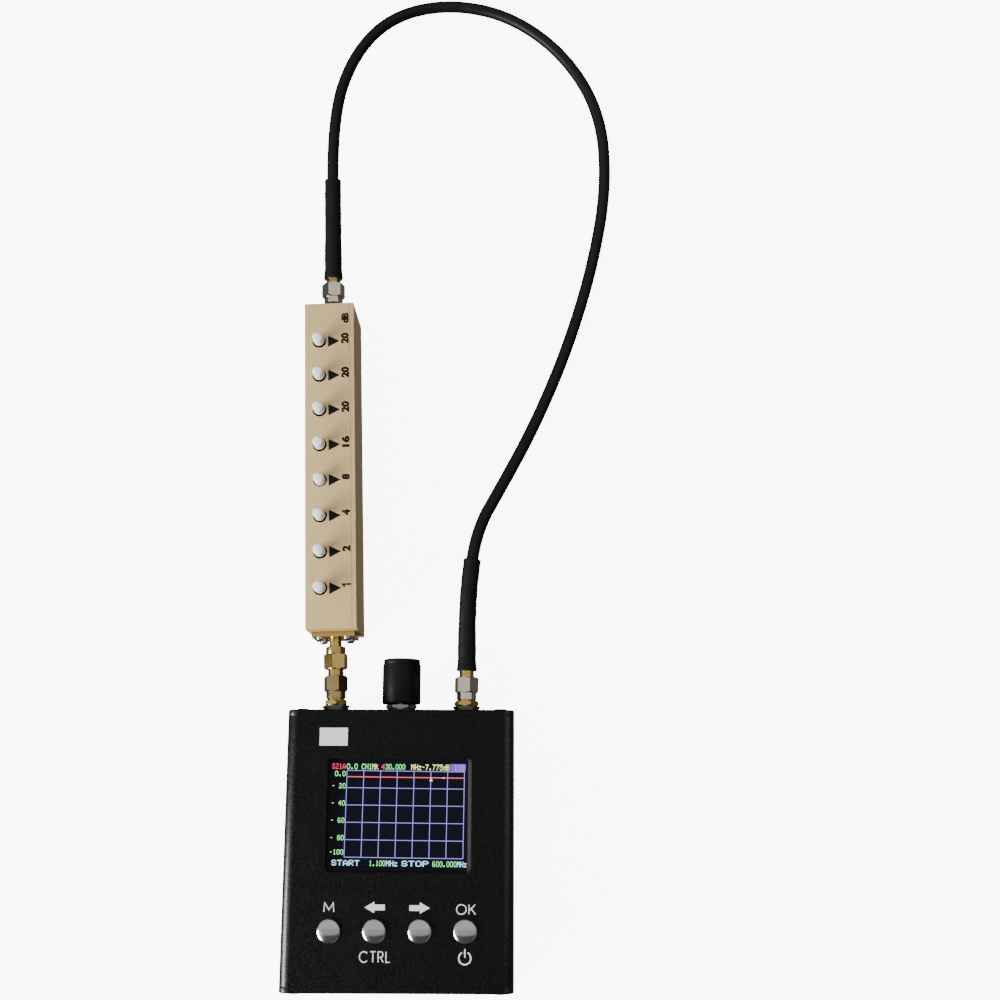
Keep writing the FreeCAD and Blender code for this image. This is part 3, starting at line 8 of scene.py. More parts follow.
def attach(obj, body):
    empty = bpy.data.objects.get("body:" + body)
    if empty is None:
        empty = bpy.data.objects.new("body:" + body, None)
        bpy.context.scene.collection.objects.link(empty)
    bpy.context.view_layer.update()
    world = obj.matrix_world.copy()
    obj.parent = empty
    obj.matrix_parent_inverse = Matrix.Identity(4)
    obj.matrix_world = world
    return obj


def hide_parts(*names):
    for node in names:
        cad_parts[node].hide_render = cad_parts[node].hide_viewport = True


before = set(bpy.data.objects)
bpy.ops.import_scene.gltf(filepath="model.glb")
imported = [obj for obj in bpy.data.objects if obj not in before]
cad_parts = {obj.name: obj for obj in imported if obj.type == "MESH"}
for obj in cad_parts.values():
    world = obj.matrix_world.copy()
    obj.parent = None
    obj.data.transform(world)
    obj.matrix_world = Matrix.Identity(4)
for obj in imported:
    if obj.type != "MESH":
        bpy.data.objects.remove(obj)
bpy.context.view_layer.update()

mm = 0.001
scene = bpy.context.scene

# camera, lights and floor

cameraSetup = {
    "lens": 50.70,  # on a 36 mm wide sensor
    "place": (41.74, 10.24, 545.36),
    "turn": (12.791, 0.600, 0.181),
}


def addCamera(setup):
    data = bpy.data.cameras.new("photoCamera")
    data.sensor_fit = "HORIZONTAL"
    data.sensor_width = 36.0
    data.lens = setup["lens"]
    data.clip_start = 0.01
    camera = bpy.data.objects.new("photoCamera", data)
    camera.location = [value * mm for value in setup["place"]]
    camera.rotation_euler = Euler([math.radians(value) for value in setup["turn"]], "XYZ")
    scene.collection.objects.link(camera)
    scene.camera = camera


addCamera(cameraSetup)

studio = {
    "worldShade": 0.13,
    "floorShade": 0.93,
    "floorGlow": 9.0,
    "floorHalf": 3,
    "lights": [  # name, place, aim, width, height, watts
        ("farPanel", (-0.20, 1.20, 1.10), (-0.20, 1.20, 0.0), 4.4, 2.2, 25.0),
        ("zenithPanel", (-0.10, -0.20, 1.15), (-0.10, -0.20, 0.0), 4.4, 0.6, 4.6),
        ("leftSoftbox", (-0.92, -0.42, 0.40), (-0.03, 0.0, 0.015), 0.8, 0.42, 36.0),
    ],
}


def addStudio(setup):
    world = bpy.data.worlds.new("studioAir")
    world.use_nodes = True
    background = world.node_tree.nodes["Background"]
    background.inputs["Color"].default_value = [setup["worldShade"]] * 3 + [1.0]
    scene.world = world
    for name, place, aim, width, height, watts in setup["lights"]:
        data = bpy.data.lights.new(name, "AREA")
        data.shape = "RECTANGLE"
        data.size = width
        data.size_y = height
        data.energy = watts
        lamp = bpy.data.objects.new(name, data)
        lamp.location = place
        lamp.rotation_euler = (Vector(aim) - Vector(place)).to_track_quat("-Z", "Y").to_euler()
        scene.collection.objects.link(lamp)


addStudio(studio)
print("camera and lights are up")

# surfaces


class Val:  # a socket that can stand in a sum
    def __init__(self, look, socket):
        self.look = look
        self.socket = socket

    def maths(self, operation, *others):
        values = dict(enumerate((self, *others)))
        return self.look.add("ShaderNodeMath", {"operation": operation}, values)

    def __abs__(self):
        return self.maths("ABSOLUTE")

    def __add__(self, other):
        return self.maths("ADD", other)

    def __mul__(self, other):
        return self.maths("MULTIPLY", other)

    def __gt__(self, other):
        return self.maths("GREATER_THAN", other)


class Look:  # one material, with its Principled shader
    def __init__(self, name, **steady):
        self.material = bpy.data.materials.new(name)
        self.material.use_nodes = True
        self.tree = self.material.node_tree
        self.shader = self.tree.nodes["Principled BSDF"]
        self.put(**steady)
        self.place = self.add("ShaderNodeTexCoord", output="Object")

    def feed(self, socket, value):
        if isinstance(value, Val):
            self.tree.links.new(value.socket, socket)
        else:
            socket.default_value = value

    def add(self, kind, settings=None, values=None, output=0):
        node = self.tree.nodes.new(kind)
        for name, value in (settings or {}).items():
            setattr(node, name, value)
        for key, value in (values or {}).items():
            self.feed(node.inputs[key], value)
        return Val(self, node.outputs[output])

    def put(self, **values):
        for name, value in values.items():
            self.feed(self.shader.inputs[name.replace("_", " ")], value)

    def noise(self, size, detail=3.0, stretch=(1, 1, 1), harsh=0.5):  # size of a grain in mm
        place = self.place
        if stretch != (1, 1, 1):
            place = self.add("ShaderNodeMapping", values={"Vector": place, "Scale": stretch})
        values = {"Vector": place, "Scale": 1 / (size * mm), "Detail": detail, "Roughness": harsh}
        return self.add("ShaderNodeTexNoise", values=values)

    def spread(self, value, low, high, fromLow=0.3, fromHigh=0.7):
        ranges = {"From Min": fromLow, "From Max": fromHigh, "To Min": low, "To Max": high}
        return self.add("ShaderNodeMapRange", values={"Value": value, **ranges})

    def mix(self, factor, first, second):
        colours = {0: factor, 6: first, 7: second}
        return self.add("ShaderNodeMix", {"data_type": "RGBA"}, colours, output=2)

    def bump(self, height, depth):  # depth in mm
        values = {"Height": height, "Distance": depth * mm, "Strength": 1.0}
        self.put(Normal=self.add("ShaderNodeBump", values=values))

    def axis(self, letter):
        return self.add("ShaderNodeSeparateXYZ", values={"Vector": self.place}, output=letter)


def grey(value):
    return (value, value, value, 1.0)


def colour(red, green, blue):
    return (red, green, blue, 1.0)


def plainLook(name, base, rough, grain, depth, vary=0.12, **more):
    look = Look(name, **more)
    fine = look.noise(grain, 4.0)
    broad = look.noise(grain * 14, 3.0)
    darker = colour(*(part * (1 - vary) for part in base))
    lighter = colour(*(min(part * (1 + vary), 1.0) for part in base))
    look.put(Base_Color=look.mix(broad, darker, lighter))
    look.put(Roughness=look.spread(fine * 0.5 + broad * 0.5, rough * 0.85, min(rough * 1.2, 1.0)))
    look.bump(fine, depth)
    return look.material


coatingSetup = {
    "rim": (37.6 * mm, 38.8 * mm),  # where the long edges start to turn down
    "rimGloss": (0.25, 1.0),
    "depth": 0.26,
}


def blackCoating(setup):  # fine wrinkle on the aluminium case
    look = Look("blackCoating", Specular_IOR_Level=0.12, Coat_Roughness=0.3)
    fine = look.noise(0.16, 3.0, harsh=0.6)
    grain = look.noise(0.6, 2.0, harsh=0.6)
    broad = look.noise(9.0, 3.0)
    look.put(Base_Color=look.mix(broad, grey(0.0012), grey(0.0024)))
    look.put(Roughness=look.spread(grain * 0.6 + broad * 0.4, 0.24, 0.34))
    look.bump(fine * 0.3 + grain * 0.7, setup["depth"])
    rounded = look.spread(abs(look.axis("X")), 0.0, 1.0, *setup["rim"])  # glossier over the long edges
    speckle = look.spread(grain * 0.5 + fine * 0.5, *setup["rimGloss"], 0.42, 0.56)
    look.put(Coat_Weight=rounded * speckle)
    return look.material


def brushedMetal(name, base, rough, grain=0.05, stretch=(1, 1, 9), vary=0.1, depth=0.004):
    look = Look(name, Metallic=1.0)
    lines = look.noise(grain, 3.0, stretch)
    broad = look.noise(3.0, 3.0)
    darker = colour(*(part * (1 - vary) for part in base))
    look.put(Base_Color=look.mix(broad, darker, colour(*base)))
    look.put(Roughness=look.spread(lines * 0.4 + broad * 0.6, rough * 0.8, rough * 1.25))
    look.bump(lines, depth)
    return look.material


def champagnePaint(name, base):
    look = Look(name, Metallic=0.15, Specular_IOR_Level=0.4)
    fine = look.noise(0.12, 3.0, (1, 0.12, 1))
    broad = look.noise(16.0, 4.0)
    marks = look.noise(3.5, 6.0)
    worn = marks > 0.72
    tone = look.mix(broad, colour(*(part * 0.93 for part in base)), colour(*base))
    look.put(Base_Color=look.mix(worn * 0.35, tone, colour(*(part * 0.7 for part in base))))
    look.put(Roughness=look.spread(fine * 0.5 + broad * 0.5, 0.36, 0.5))
    look.bump(fine, 0.006)
    return look.material


def displayFrameMetal():  # black mask; the lighter, part metallic strip at the right edge is a painted highlight of the window's edge lit from the left
    look = Look("displayFrameMetal", Specular_IOR_Level=0.12)
    broad = look.noise(1.2, 3.0)
    # painted highlight: right of 24.55 mm the frame is made lighter and part metallic
    rightEdgeHighlight = look.axis("X") > 24.55 * mm
    look.put(Base_Color=look.mix(rightEdgeHighlight, grey(0.004), grey(0.085)), Metallic=rightEdgeHighlight * 0.7)
    look.put(Roughness=look.spread(broad, 0.35, 0.5))
    look.bump(broad, 0.01)
    return look.material


def shrinkSleeve():
    look = Look("shrinkSleeve", Specular_IOR_Level=0.12)
    fine = look.noise(0.2, 3.0)
    wrinkles = look.noise(2.4, 4.0, (1, 0.45, 1))
    look.put(Base_Color=look.mix(wrinkles, grey(0.0045), grey(0.0085)))
    look.put(Roughness=look.spread(wrinkles * 0.6 + fine * 0.4, 0.42, 0.62))
    look.bump(wrinkles * 0.85 + fine * 0.15, 0.16)
    return look.material


def cableJacket():
    look = Look("cableJacket", Specular_IOR_Level=0.14)
    fine = look.noise(0.12, 3.0)
    broad = look.noise(5.0, 4.0)
    look.put(Base_Color=look.mix(broad, grey(0.004), grey(0.008)))
    look.put(Roughness=look.spread(fine * 0.4 + broad * 0.6, 0.34, 0.52))
    look.bump(fine * 0.3 + broad * 0.7, 0.05)
    return look.material


def screenGlass():
    look = Look("screenGlass", Specular_IOR_Level=0.1, Emission_Strength=0.008)
    smudges = look.noise(7.0, 4.0)
    fine = look.noise(0.25, 2.0)
    look.put(Base_Color=look.mix(smudges, colour(0.0015, 0.0018, 0.004), colour(0.003, 0.0035, 0.008)))
    look.put(Emission_Color=look.mix(smudges, colour(0.03, 0.05, 0.30), colour(0.07, 0.11, 0.55)))
    look.put(Roughness=look.spread(smudges * 0.7 + fine * 0.3, 0.08, 0.16))
    look.bump(smudges, 0.01)
    return look.material


def glow(name, base, strength):  # lit dots of the screen, with a faint pixel pitch
    look = Look(name, Emission_Strength=strength, Roughness=0.4)
    dots = look.noise(0.2, 1.0)
    lit = look.mix(dots, colour(*(part * 0.8 for part in base)), colour(*base))
    look.put(Base_Color=grey(0.01), Emission_Color=lit)
    return look.material


dull = {"Specular_IOR_Level": 0.12}
turned = (1, 8, 1)  # stretch of a lathe's marks
looks = {
    "case": blackCoating(coatingSetup),
    "darkSteel": brushedMetal("darkSteel", (0.10, 0.09, 0.075), 0.3, stretch=(1, 6, 1)),
    "blackSteel": brushedMetal("blackSteel", (0.03, 0.03, 0.032), 0.35),
    "steel": brushedMetal("platedSteel", (0.62, 0.62, 0.63), 0.25),
    "nutSteel": brushedMetal("encoderNutSteel", (0.25, 0.25, 0.24), 0.26, stretch=(1, 6, 1)),
    "displayFrame": displayFrameMetal(),
    "glass": screenGlass(),
    "blackMoulding": plainLook("blackMoulding", (0.008, 0.008, 0.009), 0.45, 0.2, 0.01, **dull),
    "board": plainLook("boardLaminate", (0.02, 0.13, 0.06), 0.4, 0.3, 0.01),
    "battery": plainLook("batteryWrap", (0.45, 0.47, 0.5), 0.35, 0.6, 0.02),
    "knob": plainLook("knobMoulding", (0.0042, 0.0042, 0.0042), 0.42, 0.14, 0.012, **dull),
    "keyChrome": brushedMetal("keyChrome", (0.44, 0.44, 0.425), 0.17, 0.6, (1, 1, 1), 0.06, 0.003),
    "gold": brushedMetal("goldPlating", (0.56, 0.375, 0.115), 0.2, 0.08, turned, 0.12, 0.006),
    "paleGold": brushedMetal("wornGoldPlating", (0.40, 0.29, 0.135), 0.26, 0.08, turned, 0.15, 0.006),
    "nickel": brushedMetal("nickelPlating", (0.66, 0.60, 0.48), 0.18, 0.08, turned, 0.12, 0.006),
    "whiteInsulator": plainLook("whiteInsulator", (0.8, 0.79, 0.76), 0.4, 0.2, 0.005, vary=0.04),
    "champagne": champagnePaint("champagnePaint", (0.66, 0.475, 0.225)),
    "screwSteel": brushedMetal("screwSteel", (0.5, 0.49, 0.47), 0.2, 0.1, (1, 1, 1)),
    "button": plainLook("buttonMoulding", (0.92, 0.92, 0.88), 0.3, 0.3, 0.004, vary=0.04),
    "boot": shrinkSleeve(),
    "cable": cableJacket(),
    "legend": plainLook("legendInk", (0.80, 0.81, 0.79), 0.55, 0.12, 0.006, vary=0.08),
    "badge": plainLook("badgePlate", (0.80, 0.81, 0.79), 0.45, 0.2, 0.006, vary=0.06),
    "blackInk": plainLook("blackInk", (0.004, 0.004, 0.004), 0.5, 0.15, 0.005, **dull),
}

cadFinishes = {
    "case": ["front_shell", "back_shell", "top_end_plate", "bottom_end_plate"],
    "blackSteel": ["end_plate_screws"],
    "displayFrame": ["display_frame"],
    "glass": ["display_panel"],
    "steel": ["rf_shield_can", "usb_socket", "board_standoffs", "board_screws", "encoder_shaft"]
    + ["encoder_detent_ring"],
    "blackMoulding": ["display_carrier", "board_chips", "key_switches", "encoder_housing"]
    + ["attenuator_switches"],
    "board": ["main_board", "attenuator_board"],
    "battery": ["battery"],
    "darkSteel": ["encoder_washer", "port_washers"],
    "gold": ["port_sockets", "connector_pins", "attenuator_ports"],
    "whiteInsulator": ["connector_insulators"],
    "champagne": ["attenuator_body", "attenuator_front_cover", "attenuator_back_cover"],
    "screwSteel": ["cover_screws"],
    "cable": ["cable_ends"],
}

for finish, names in cadFinishes.items():
    for name in names:
        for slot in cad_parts[name].material_slots:
            slot.material = looks[finish]

floorLook = Look("paleFloor", Specular_IOR_Level=0.1, Emission_Strength=studio["floorGlow"])
floorGrain = floorLook.noise(4.0, 3.0)
floorTone = floorLook.mix(floorGrain, grey(studio["floorShade"] - 0.01), grey(studio["floorShade"]))
floorLook.put(Base_Color=floorTone, Emission_Color=floorTone)
floorLook.put(Roughness=floorLook.spread(floorGrain, 0.75, 0.85))
floorMesh = bpy.data.meshes.new("paleFloor")
half = studio["floorHalf"]
floorCorners = [(-half, -half, 0), (half, -half, 0), (half, half, 0), (-half, half, 0)]
floorMesh.from_pydata(floorCorners, [], [(0, 1, 2, 3)])
floorMesh.materials.append(floorLook.material)
floor = bpy.data.objects.new("paleFloor", floorMesh)
floor.visible_diffuse = False  # its glow stays off the object's sides
floor.visible_glossy = False
scene.collection.objects.link(floor)
print("surfaces are mixed")

# building pieces

portPlace = {"left": -25.3, "right": 23.5, "panel": 49.35, "height": 14.5, "lean": 2.0}


def onLeft(distance, facingBack=False):  # on the leaning row of connectors, in mm from the panel
    start = Matrix.Translation((portPlace["left"], portPlace["panel"], portPlace["height"]))
    lean = Matrix.Rotation(math.radians(portPlace["lean"]), 4, "Z")
    back = Matrix.Rotation(math.pi if facingBack else 0.0, 4, "Z")
    return start @ lean @ Matrix.Translation((0, distance, 0)) @ back


def onRight(distance):
    place = (portPlace["right"], portPlace["panel"] + distance, portPlace["height"])
    return Matrix.Translation(place)


def addPiece(name, points, faces, look, body, stands=(), sharp=32.0, at=None):
    mesh = bpy.data.meshes.new(name)
    at = at or Matrix.Identity(4)
    mesh.from_pydata([tuple((at @ Vector(point)) * mm) for point in points], [], faces)
    tidyMesh = bmesh.new()
    tidyMesh.from_mesh(mesh)
    bmesh.ops.recalc_face_normals(tidyMesh, faces=tidyMesh.faces)
    tidyMesh.to_mesh(mesh)
    tidyMesh.free()
    mesh.materials.append(look)
    mesh.shade_smooth()
    mesh.set_sharp_from_angle(angle=math.radians(sharp))
    piece = bpy.data.objects.new(name, mesh)
    scene.collection.objects.link(piece)
    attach(piece, body)
    if stands:
        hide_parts(*stands)
    return piece


def ringFaces(rings, steps, closeStart=True, closeEnd=True, first=0):
    faces = []
    for ring in range(rings - 1):
        for step in range(steps):
            after = (step + 1) % steps
            low, high = first + ring * steps, first + (ring + 1) * steps
            faces.append((low + step, low + after, high + after, high + step))
    if closeStart:
        faces.append(tuple(first + step for step in range(steps)))
    if closeEnd:
        faces.append(tuple(first + (rings - 1) * steps + step for step in reversed(range(steps))))
    return faces


def turnedPoints(profile, flats=0.0, turn=0.0, steps=96, upright=False):
    # rings along +Y, or +Z when upright; flats cuts the rings to a hexagon
    points = []
    for along, radius in profile:
        for step in range(steps):
            angle = math.tau * step / steps
            reach = radius
            if flats:
                side = (angle + math.pi / 6) % (math.pi / 3) - math.pi / 6
                reach = min(radius, flats / 2 / math.cos(side))
            spin = angle + math.radians(turn) + (math.pi / 6 if flats else 0)
            across, up = reach * math.cos(spin), reach * math.sin(spin)
            points.append((across, up, along) if upright else (across, along, up))
    return points


def turnedPiece(name, profile, look, body, slot, at, stands=(), upright=False, sharp=32.0, **shape):
    points = turnedPoints(profile, upright=upright, **shape)
    faces = ringFaces(len(profile), shape.get("steps", 96))
    return addPiece(name, points, faces, look, body, stands, sharp, at)


def hexProfile(flats, length, start=0.0, chamfer=0.35, edge=0.08):
    # a hexagon whose corners are turned down, with softened end faces
    corner = flats / math.sqrt(3)
    return [
        (start, flats / 2 - edge),
        (start + edge * 0.6, flats / 2),
        (start + chamfer, corner - 0.05),
        (start + chamfer + 0.05, corner),
        (start + length - chamfer - 0.05, corner),
        (start + length - chamfer, corner - 0.05),
        (start + length - edge * 0.6, flats / 2),
        (start + length, flats / 2 - edge),
    ]


# the free coax cable

cableSetup = {
    "radius": 2.4,
    "length": 401.2,
    "route": [
        (-32.8034, 264.219, 14.5),
        (-33.9, 293.6, 14.2),
        (-26.2, 324.4, 9.6),
        (-10.9, 345.1, 4.4),
        (12.9, 352.0, 2.6),
        (39.2, 346.3, 2.6),
        (62.3, 328.0, 2.6),
        (77.3, 301.1, 2.6),
        (79.6, 267.9, 2.6),
        (73.4, 231.7, 2.6),
        (62.7, 195.9, 3.0),
        (49.7, 163.6, 6.0),
        (36.6, 137.2, 11.2),
        (26.8, 118.9, 14.3),
        (25.2961, 107.3749, 14.5),
    ],
}


def addCable(setup):
    data = bpy.data.curves.new("coaxJacket", "CURVE")
    data.dimensions = "3D"
    line = data.splines.new("NURBS")
    line.points.add(len(setup["route"]) - 1)
    for point, place in zip(line.points, setup["route"]):
        point.co = (*(value * mm for value in place), 1.0)
    line.order_u = 3
    line.use_endpoint_u = True
    line.resolution_u = 16
    data.bevel_depth = setup["radius"] * mm
    data.bevel_resolution = 8
    data.materials.append(looks["cable"])
    cable = bpy.data.objects.new("coaxJacket", data)
    scene.collection.objects.link(cable)
    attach(cable, "case")
    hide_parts("coax_cable")
    return cable


coaxJacket = addCable(cableSetup)
print("cable is laid")

# encoder knob and nut

knobSetup = {
    "radius": 7.15,
    "capRadius": 6.85,
    "across": -0.9,
    "start": 52.3,
    "length": 16.6,
    "capLength": 1.9,
    "soften": 0.48,
    "nutStart": 50.2,
    "nutFlats": 10.0,
    "nutLength": 2.05,
}


def addKnob(setup):
    radius, cap, soften = setup["radius"], setup["capRadius"], setup["soften"]
    top = setup["length"]
    step = top - setup["capLength"]
    profile = [(0.9, 5.9), (0.15, 6.1), (0.0, 6.35)]
    profile += [(0.0, radius - 0.35), (0.12, radius - 0.1), (0.4, radius)]
    profile += [(step - 0.3, radius - 0.02), (step - 0.1, radius - 0.06), (step, radius - 0.16)]
    profile += [(step + 0.06, cap - 0.06), (step + 0.25, cap)]
    for part in range(7):
        angle = math.pi / 2 * part / 6
        along = top - soften + soften * math.sin(angle)
        profile.append((along, cap - soften * (1 - math.cos(angle))))
    profile += [(top - 0.02, cap * 0.6), (top - 0.05, cap * 0.3), (top - 0.06, 0.4)]
    at = Matrix.Translation((setup["across"], setup["start"], portPlace["height"]))
    body, slot = "encoder_knob_and_shaft", "knob_black"
    turnedPiece("knobCap", profile, looks["knob"], body, slot, at, ["encoder_knob"])


def addKnobNut(setup):
    flats = setup["nutFlats"]
    profile = hexProfile(flats, setup["nutLength"], chamfer=0.5)
    at = Matrix.Translation((setup["across"], setup["nutStart"], portPlace["height"]))
    look, stands = looks["nutSteel"], ["encoder_nut"]
    turnedPiece("encoderPanelNut", profile, look, "case", "dark_nickel", at, stands, flats=flats)


addKnob(knobSetup)
addKnobNut(knobSetup)

# panel nuts, coupling nuts, adapter and plugs

nutSetup = {
    "flats": 8.0,
    "round": 3.7,
    "roundLength": 2.6,
    "length": 8.4,
    "panelNut": 2.1,
    "washers": 2.05,  # lock and flat washer, with their clearance
    "spacing": {"left": 0.21, "right": 0.05},  # panel to washer
    "panelTurns": {"left": 22.0, "right": 8.0},
    "adapterDepth": 5.1,  # how far a nut reaches over the thread
    "jumperDepth": 5.5,
    "between": 2.6,  # free length between the adapter's nuts
    "turns": {"lower": 10.0, "upper": -39.0, "left": 48.0, "right": 13.0},
}


def couplingProfile(setup):  # open round end first, in mm from the open end
    collar = setup["round"]
    profile = [(0.4, 3.3), (0.0, 3.35), (0.0, collar - 0.2), (0.15, collar)]
    profile += [(setup["roundLength"] - 0.1, collar), (setup["roundLength"], collar - 0.03)]
    hexLength = setup["length"] - setup["roundLength"]
    profile += hexProfile(setup["flats"], hexLength, setup["roundLength"] + 0.02)
    profile += [(setup["length"], 3.05), (setup["length"] - 0.5, 3.0)]
    return profile


attenuatorSize = {"length": 127.2, "flange": 2.0, "thread": 8.25}  # thread: flange to its end
attenuatorEnd = attenuatorSize["thread"] + attenuatorSize["flange"]
tips = {"port": 10.0}  # thread ends, in mm from the panel
tips["adapter"] = tips["port"] + 2 * (nutSetup["length"] - nutSetup["adapterDepth"])
tips["adapter"] += nutSetup["between"]
tips["attenuator"] = tips["adapter"] + 2 * attenuatorEnd + attenuatorSize["length"]


def addCouplingNut(name, node, look, at, depth, turn):
    at = at @ Matrix.Translation((0, -depth, 0))
    slot = "nickel" if look == "nickel" else "gold_brass"
    shape = {"flats": nutSetup["flats"], "turn": turn, "sharp": 22.0}
    profile = couplingProfile(nutSetup)
    turnedPiece(name, profile, looks[look], node + "_ring", slot, at, [node], **shape)


def addCouplingNuts(setup):
    adapter, jumper, turn = setup["adapterDepth"], setup["jumperDepth"], setup["turns"]
    lower, upper = onLeft(tips["port"]), onLeft(tips["adapter"], True)
    left, right = onLeft(tips["attenuator"]), onRight(tips["port"])
    addCouplingNut("lowerCoupling", "adapter_nut_lower", "paleGold", lower, adapter, turn["lower"])
    addCouplingNut("upperCoupling", "adapter_nut_upper", "gold", upper, adapter, turn["upper"])
    addCouplingNut("leftJumperCoupling", "jumper_nut_left", "nickel", left, jumper, turn["left"])
    addCouplingNut("rightJumperCoupling", "jumper_nut_right", "nickel", right, jumper, turn["right"])


def addPanelNut(side, setup, at):
    start = setup["spacing"][side] + setup["washers"]
    profile = hexProfile(setup["flats"], setup["panelNut"], start, chamfer=0.5)
    shape = {"flats": setup["flats"], "turn": setup["panelTurns"][side]}
    turnedPiece(side + "PanelNut", profile, looks["gold"], "case", "gold_brass", at, ["port_nuts"], **shape)


addCouplingNuts(nutSetup)
addPanelNut("left", nutSetup, onLeft(0.0))
addPanelNut("right", nutSetup, onRight(0.0))

barrelSetup = {
    "nose": [(-2.5, 2.2), (-2.5, 2.3), (0.05, 2.3), (0.05, 3.1), (0.85, 3.1)],  # inside a nut
    "adapterNeck": 2.95,
    "plugNeck": 2.75,
    "plugNeckEnd": 5.4,
    "ferrule": [(5.4, 3.0), (14.4, 3.0)],
}


def neckProfile(radius, start, end, grooves):
    profile = [(start, radius - 0.15), (start + 0.1, radius)]
    for place, depth in grooves:
        profile += [(place - 0.15, radius), (place - 0.08, radius - depth)]
        profile += [(place + 0.08, radius - depth), (place + 0.15, radius)]
    profile += [(end - 0.1, radius), (end, radius - 0.15)]
    return profile


def addAdapterBarrel(setup):
    length = tips["adapter"] - tips["port"]
    neck = setup["adapterNeck"]
    grooves = [(length / 2 - 0.6, 0.12), (length / 2 + 0.6, 0.12)]
    profile = setup["nose"] + [(0.85, neck)] + neckProfile(neck, 1.0, length - 1.0, grooves)
    profile += [(length - 0.85, neck)] + [(length - along, radius) for along, radius in setup["nose"][::-1]]
    at = onLeft(tips["port"])
    turnedPiece("adapterBarrel", profile, looks["gold"], "case", "gold_brass", at, ["adapter_body"])


def addPlugBody(name, setup, look, at):
    neck = setup["plugNeck"]
    profile = setup["nose"] + [(0.85, neck)]
    profile += neckProfile(neck, 1.0, setup["plugNeckEnd"], [(4.2, 0.15)]) + setup["ferrule"]
    return turnedPiece(name, profile, looks[look], "case", "gold_brass", at, ["jumper_plugs"])


addAdapterBarrel(barrelSetup)
plugPieces = [
    addPlugBody("leftPlugBody", barrelSetup, "paleGold", onLeft(tips["attenuator"])),
    addPlugBody("rightPlugBody", barrelSetup, "gold", onRight(tips["port"])),
]
print("connectors are turned")

# shrink boots

bootSetup = {
    "start": 5.4,
    "length": 42.7,
    "radius": 3.33,
    "shoulder": 14.0,
    "bendRadius": 229.0,
    "steps": 64,
    "rings": 90,
}


def bootRadius(along):  # wide at the plug, a step where the inner sleeve ends, snug on the cable
    flare = 0.30 * math.exp(-((along / 2.6) ** 2))
    shoulder = 0.16 / (1 + math.exp((along - bootSetup["shoulder"]) / 0.55))
    waves = 0.035 * math.sin(along * 0.9 + 0.7) + 0.02 * math.sin(along * 2.3)
    return bootSetup["radius"] + flare + shoulder + waves


def bootCentre(along, bent):  # place and heading on the boot's centre line
    start, shoulder, radius = bootSetup["start"], bootSetup["shoulder"], bootSetup["bendRadius"]
    if not bent or along <= shoulder:
        return Vector((0, start + along, 0)), 0.0
    turn = (along - shoulder) / radius
    across = radius * (1 - math.cos(turn))
    return Vector((across, start + shoulder + radius * math.sin(turn), 0)), turn


def addBoot(name, at, bent):
    steps, rings, length = bootSetup["steps"], bootSetup["rings"], bootSetup["length"]
    stations = [(0.0, 3.1), (0.0, bootRadius(0) - 0.25), (0.12, bootRadius(0))]
    stations += [(0.4 + (length - 0.8) * ring / rings, None) for ring in range(rings + 1)]
    stations += [(length - 0.12, bootRadius(length) - 0.06), (length, bootRadius(length) - 0.3)]
    stations += [(length, 2.5), (length - 2.0, 2.45)]
    points = []
    for along, radius in stations:
        radius = bootRadius(along) if radius is None else radius
        place, turn = bootCentre(along, bent)
        for step in range(steps):
            angle = math.tau * step / steps
            lumpy = radius * (1 + 0.006 * math.sin(3 * angle + along * 0.35))
            across, up = lumpy * math.cos(angle), lumpy * math.sin(angle)
            points.append((place.x + across * math.cos(turn), place.y - across * math.sin(turn), up))
    faces = ringFaces(len(stations), steps, False, False)
    stands = ["shrink_boots"]
    return addPiece(name, points, faces, looks["boot"], "case", stands, 40.0, at)


leftBoot = addBoot("leftBoot", onLeft(tips["attenuator"]), False)
rightBoot = addBoot("rightBoot", onRight(tips["port"]), True)
print("boots are shrunk on")

# keys

keySetup = {
    "names": ("mode", "left", "right", "ok"),
    "row": -28.35,
    "pitch": 16.05,
    "radius": 4.0,
    "stem": 1.7,
    "stemLow": 20.4,
    "flange": 4.7,
    "flangeLow": 25.15,
    "flangeHigh": 25.95,
    "top": 29.8,
    "dome": 1.05,
}


def addKey(setup, name, place):
    radius, dome, top = setup["radius"], setup["dome"], setup["top"]
    ball = (radius * radius + dome * dome) / (2 * dome)
    profile = [(setup["stemLow"], setup["stem"]), (setup["flangeLow"], setup["stem"])]
    profile += [(setup["flangeLow"], setup["flange"]), (setup["flangeHigh"], setup["flange"])]
    profile += [(setup["flangeHigh"], radius)]
    for part in range(13):
        reach = radius * (1 - part / 12) + 0.02 * part / 12
        edge = 0.04 if part == 0 else 0  # the rim is a little softened
        profile.append((top - ball + math.sqrt(ball * ball - reach * reach), reach - edge))
    at = Matrix.Translation((place, setup["row"], 0))
    body, stands, shape = "key_" + name, ["key_cap_" + name], {"upright": True, "sharp": 40.0}
    turnedPiece(body + "_dome", profile, looks["keyChrome"], body, "key_chrome", at, stands, **shape)


for count, name in enumerate(keySetup["names"]):
    addKey(keySetup, name, (count - 1.5) * keySetup["pitch"])

# attenuator buttons and marks

attenuatorSetup = {
    "start": tips["adapter"] + attenuatorEnd,
    "face": 14.5,  # above the connectors' axis
    "first": 15.2,
    "pitch": 13.79,
    "buttonAcross": -3.8,
    "buttonRadius": 2.1,
    "rise": 6.0,
    "crown": 0.9,
    "latched": {"8db": 1.5},
    "names": ("1db", "2db", "4db", "8db", "16db", "20db_first", "20db_second", "20db_third"),
    "steps": ["1", "2", "4", "8", "16", "20", "20", "20"],
    "digit": 2.3,  # length along the row of one figure, and of two
    "twoDigits": 4.4,
    "figures": (4.5, 7.55),  # low and high side of the figures
    "markShift": 0.95,
    "triangle": [(-0.45, -2.35), (4.05, -0.1), (-0.45, 2.15)],
    "one": [(7.55, 1.2), (4.5, 1.2), (5.35, 0.3)],
    "oneInk": 0.66,
    "bold": 0.06,
    "unit": (4.75, 7.1, 7.55, 11.3),
}


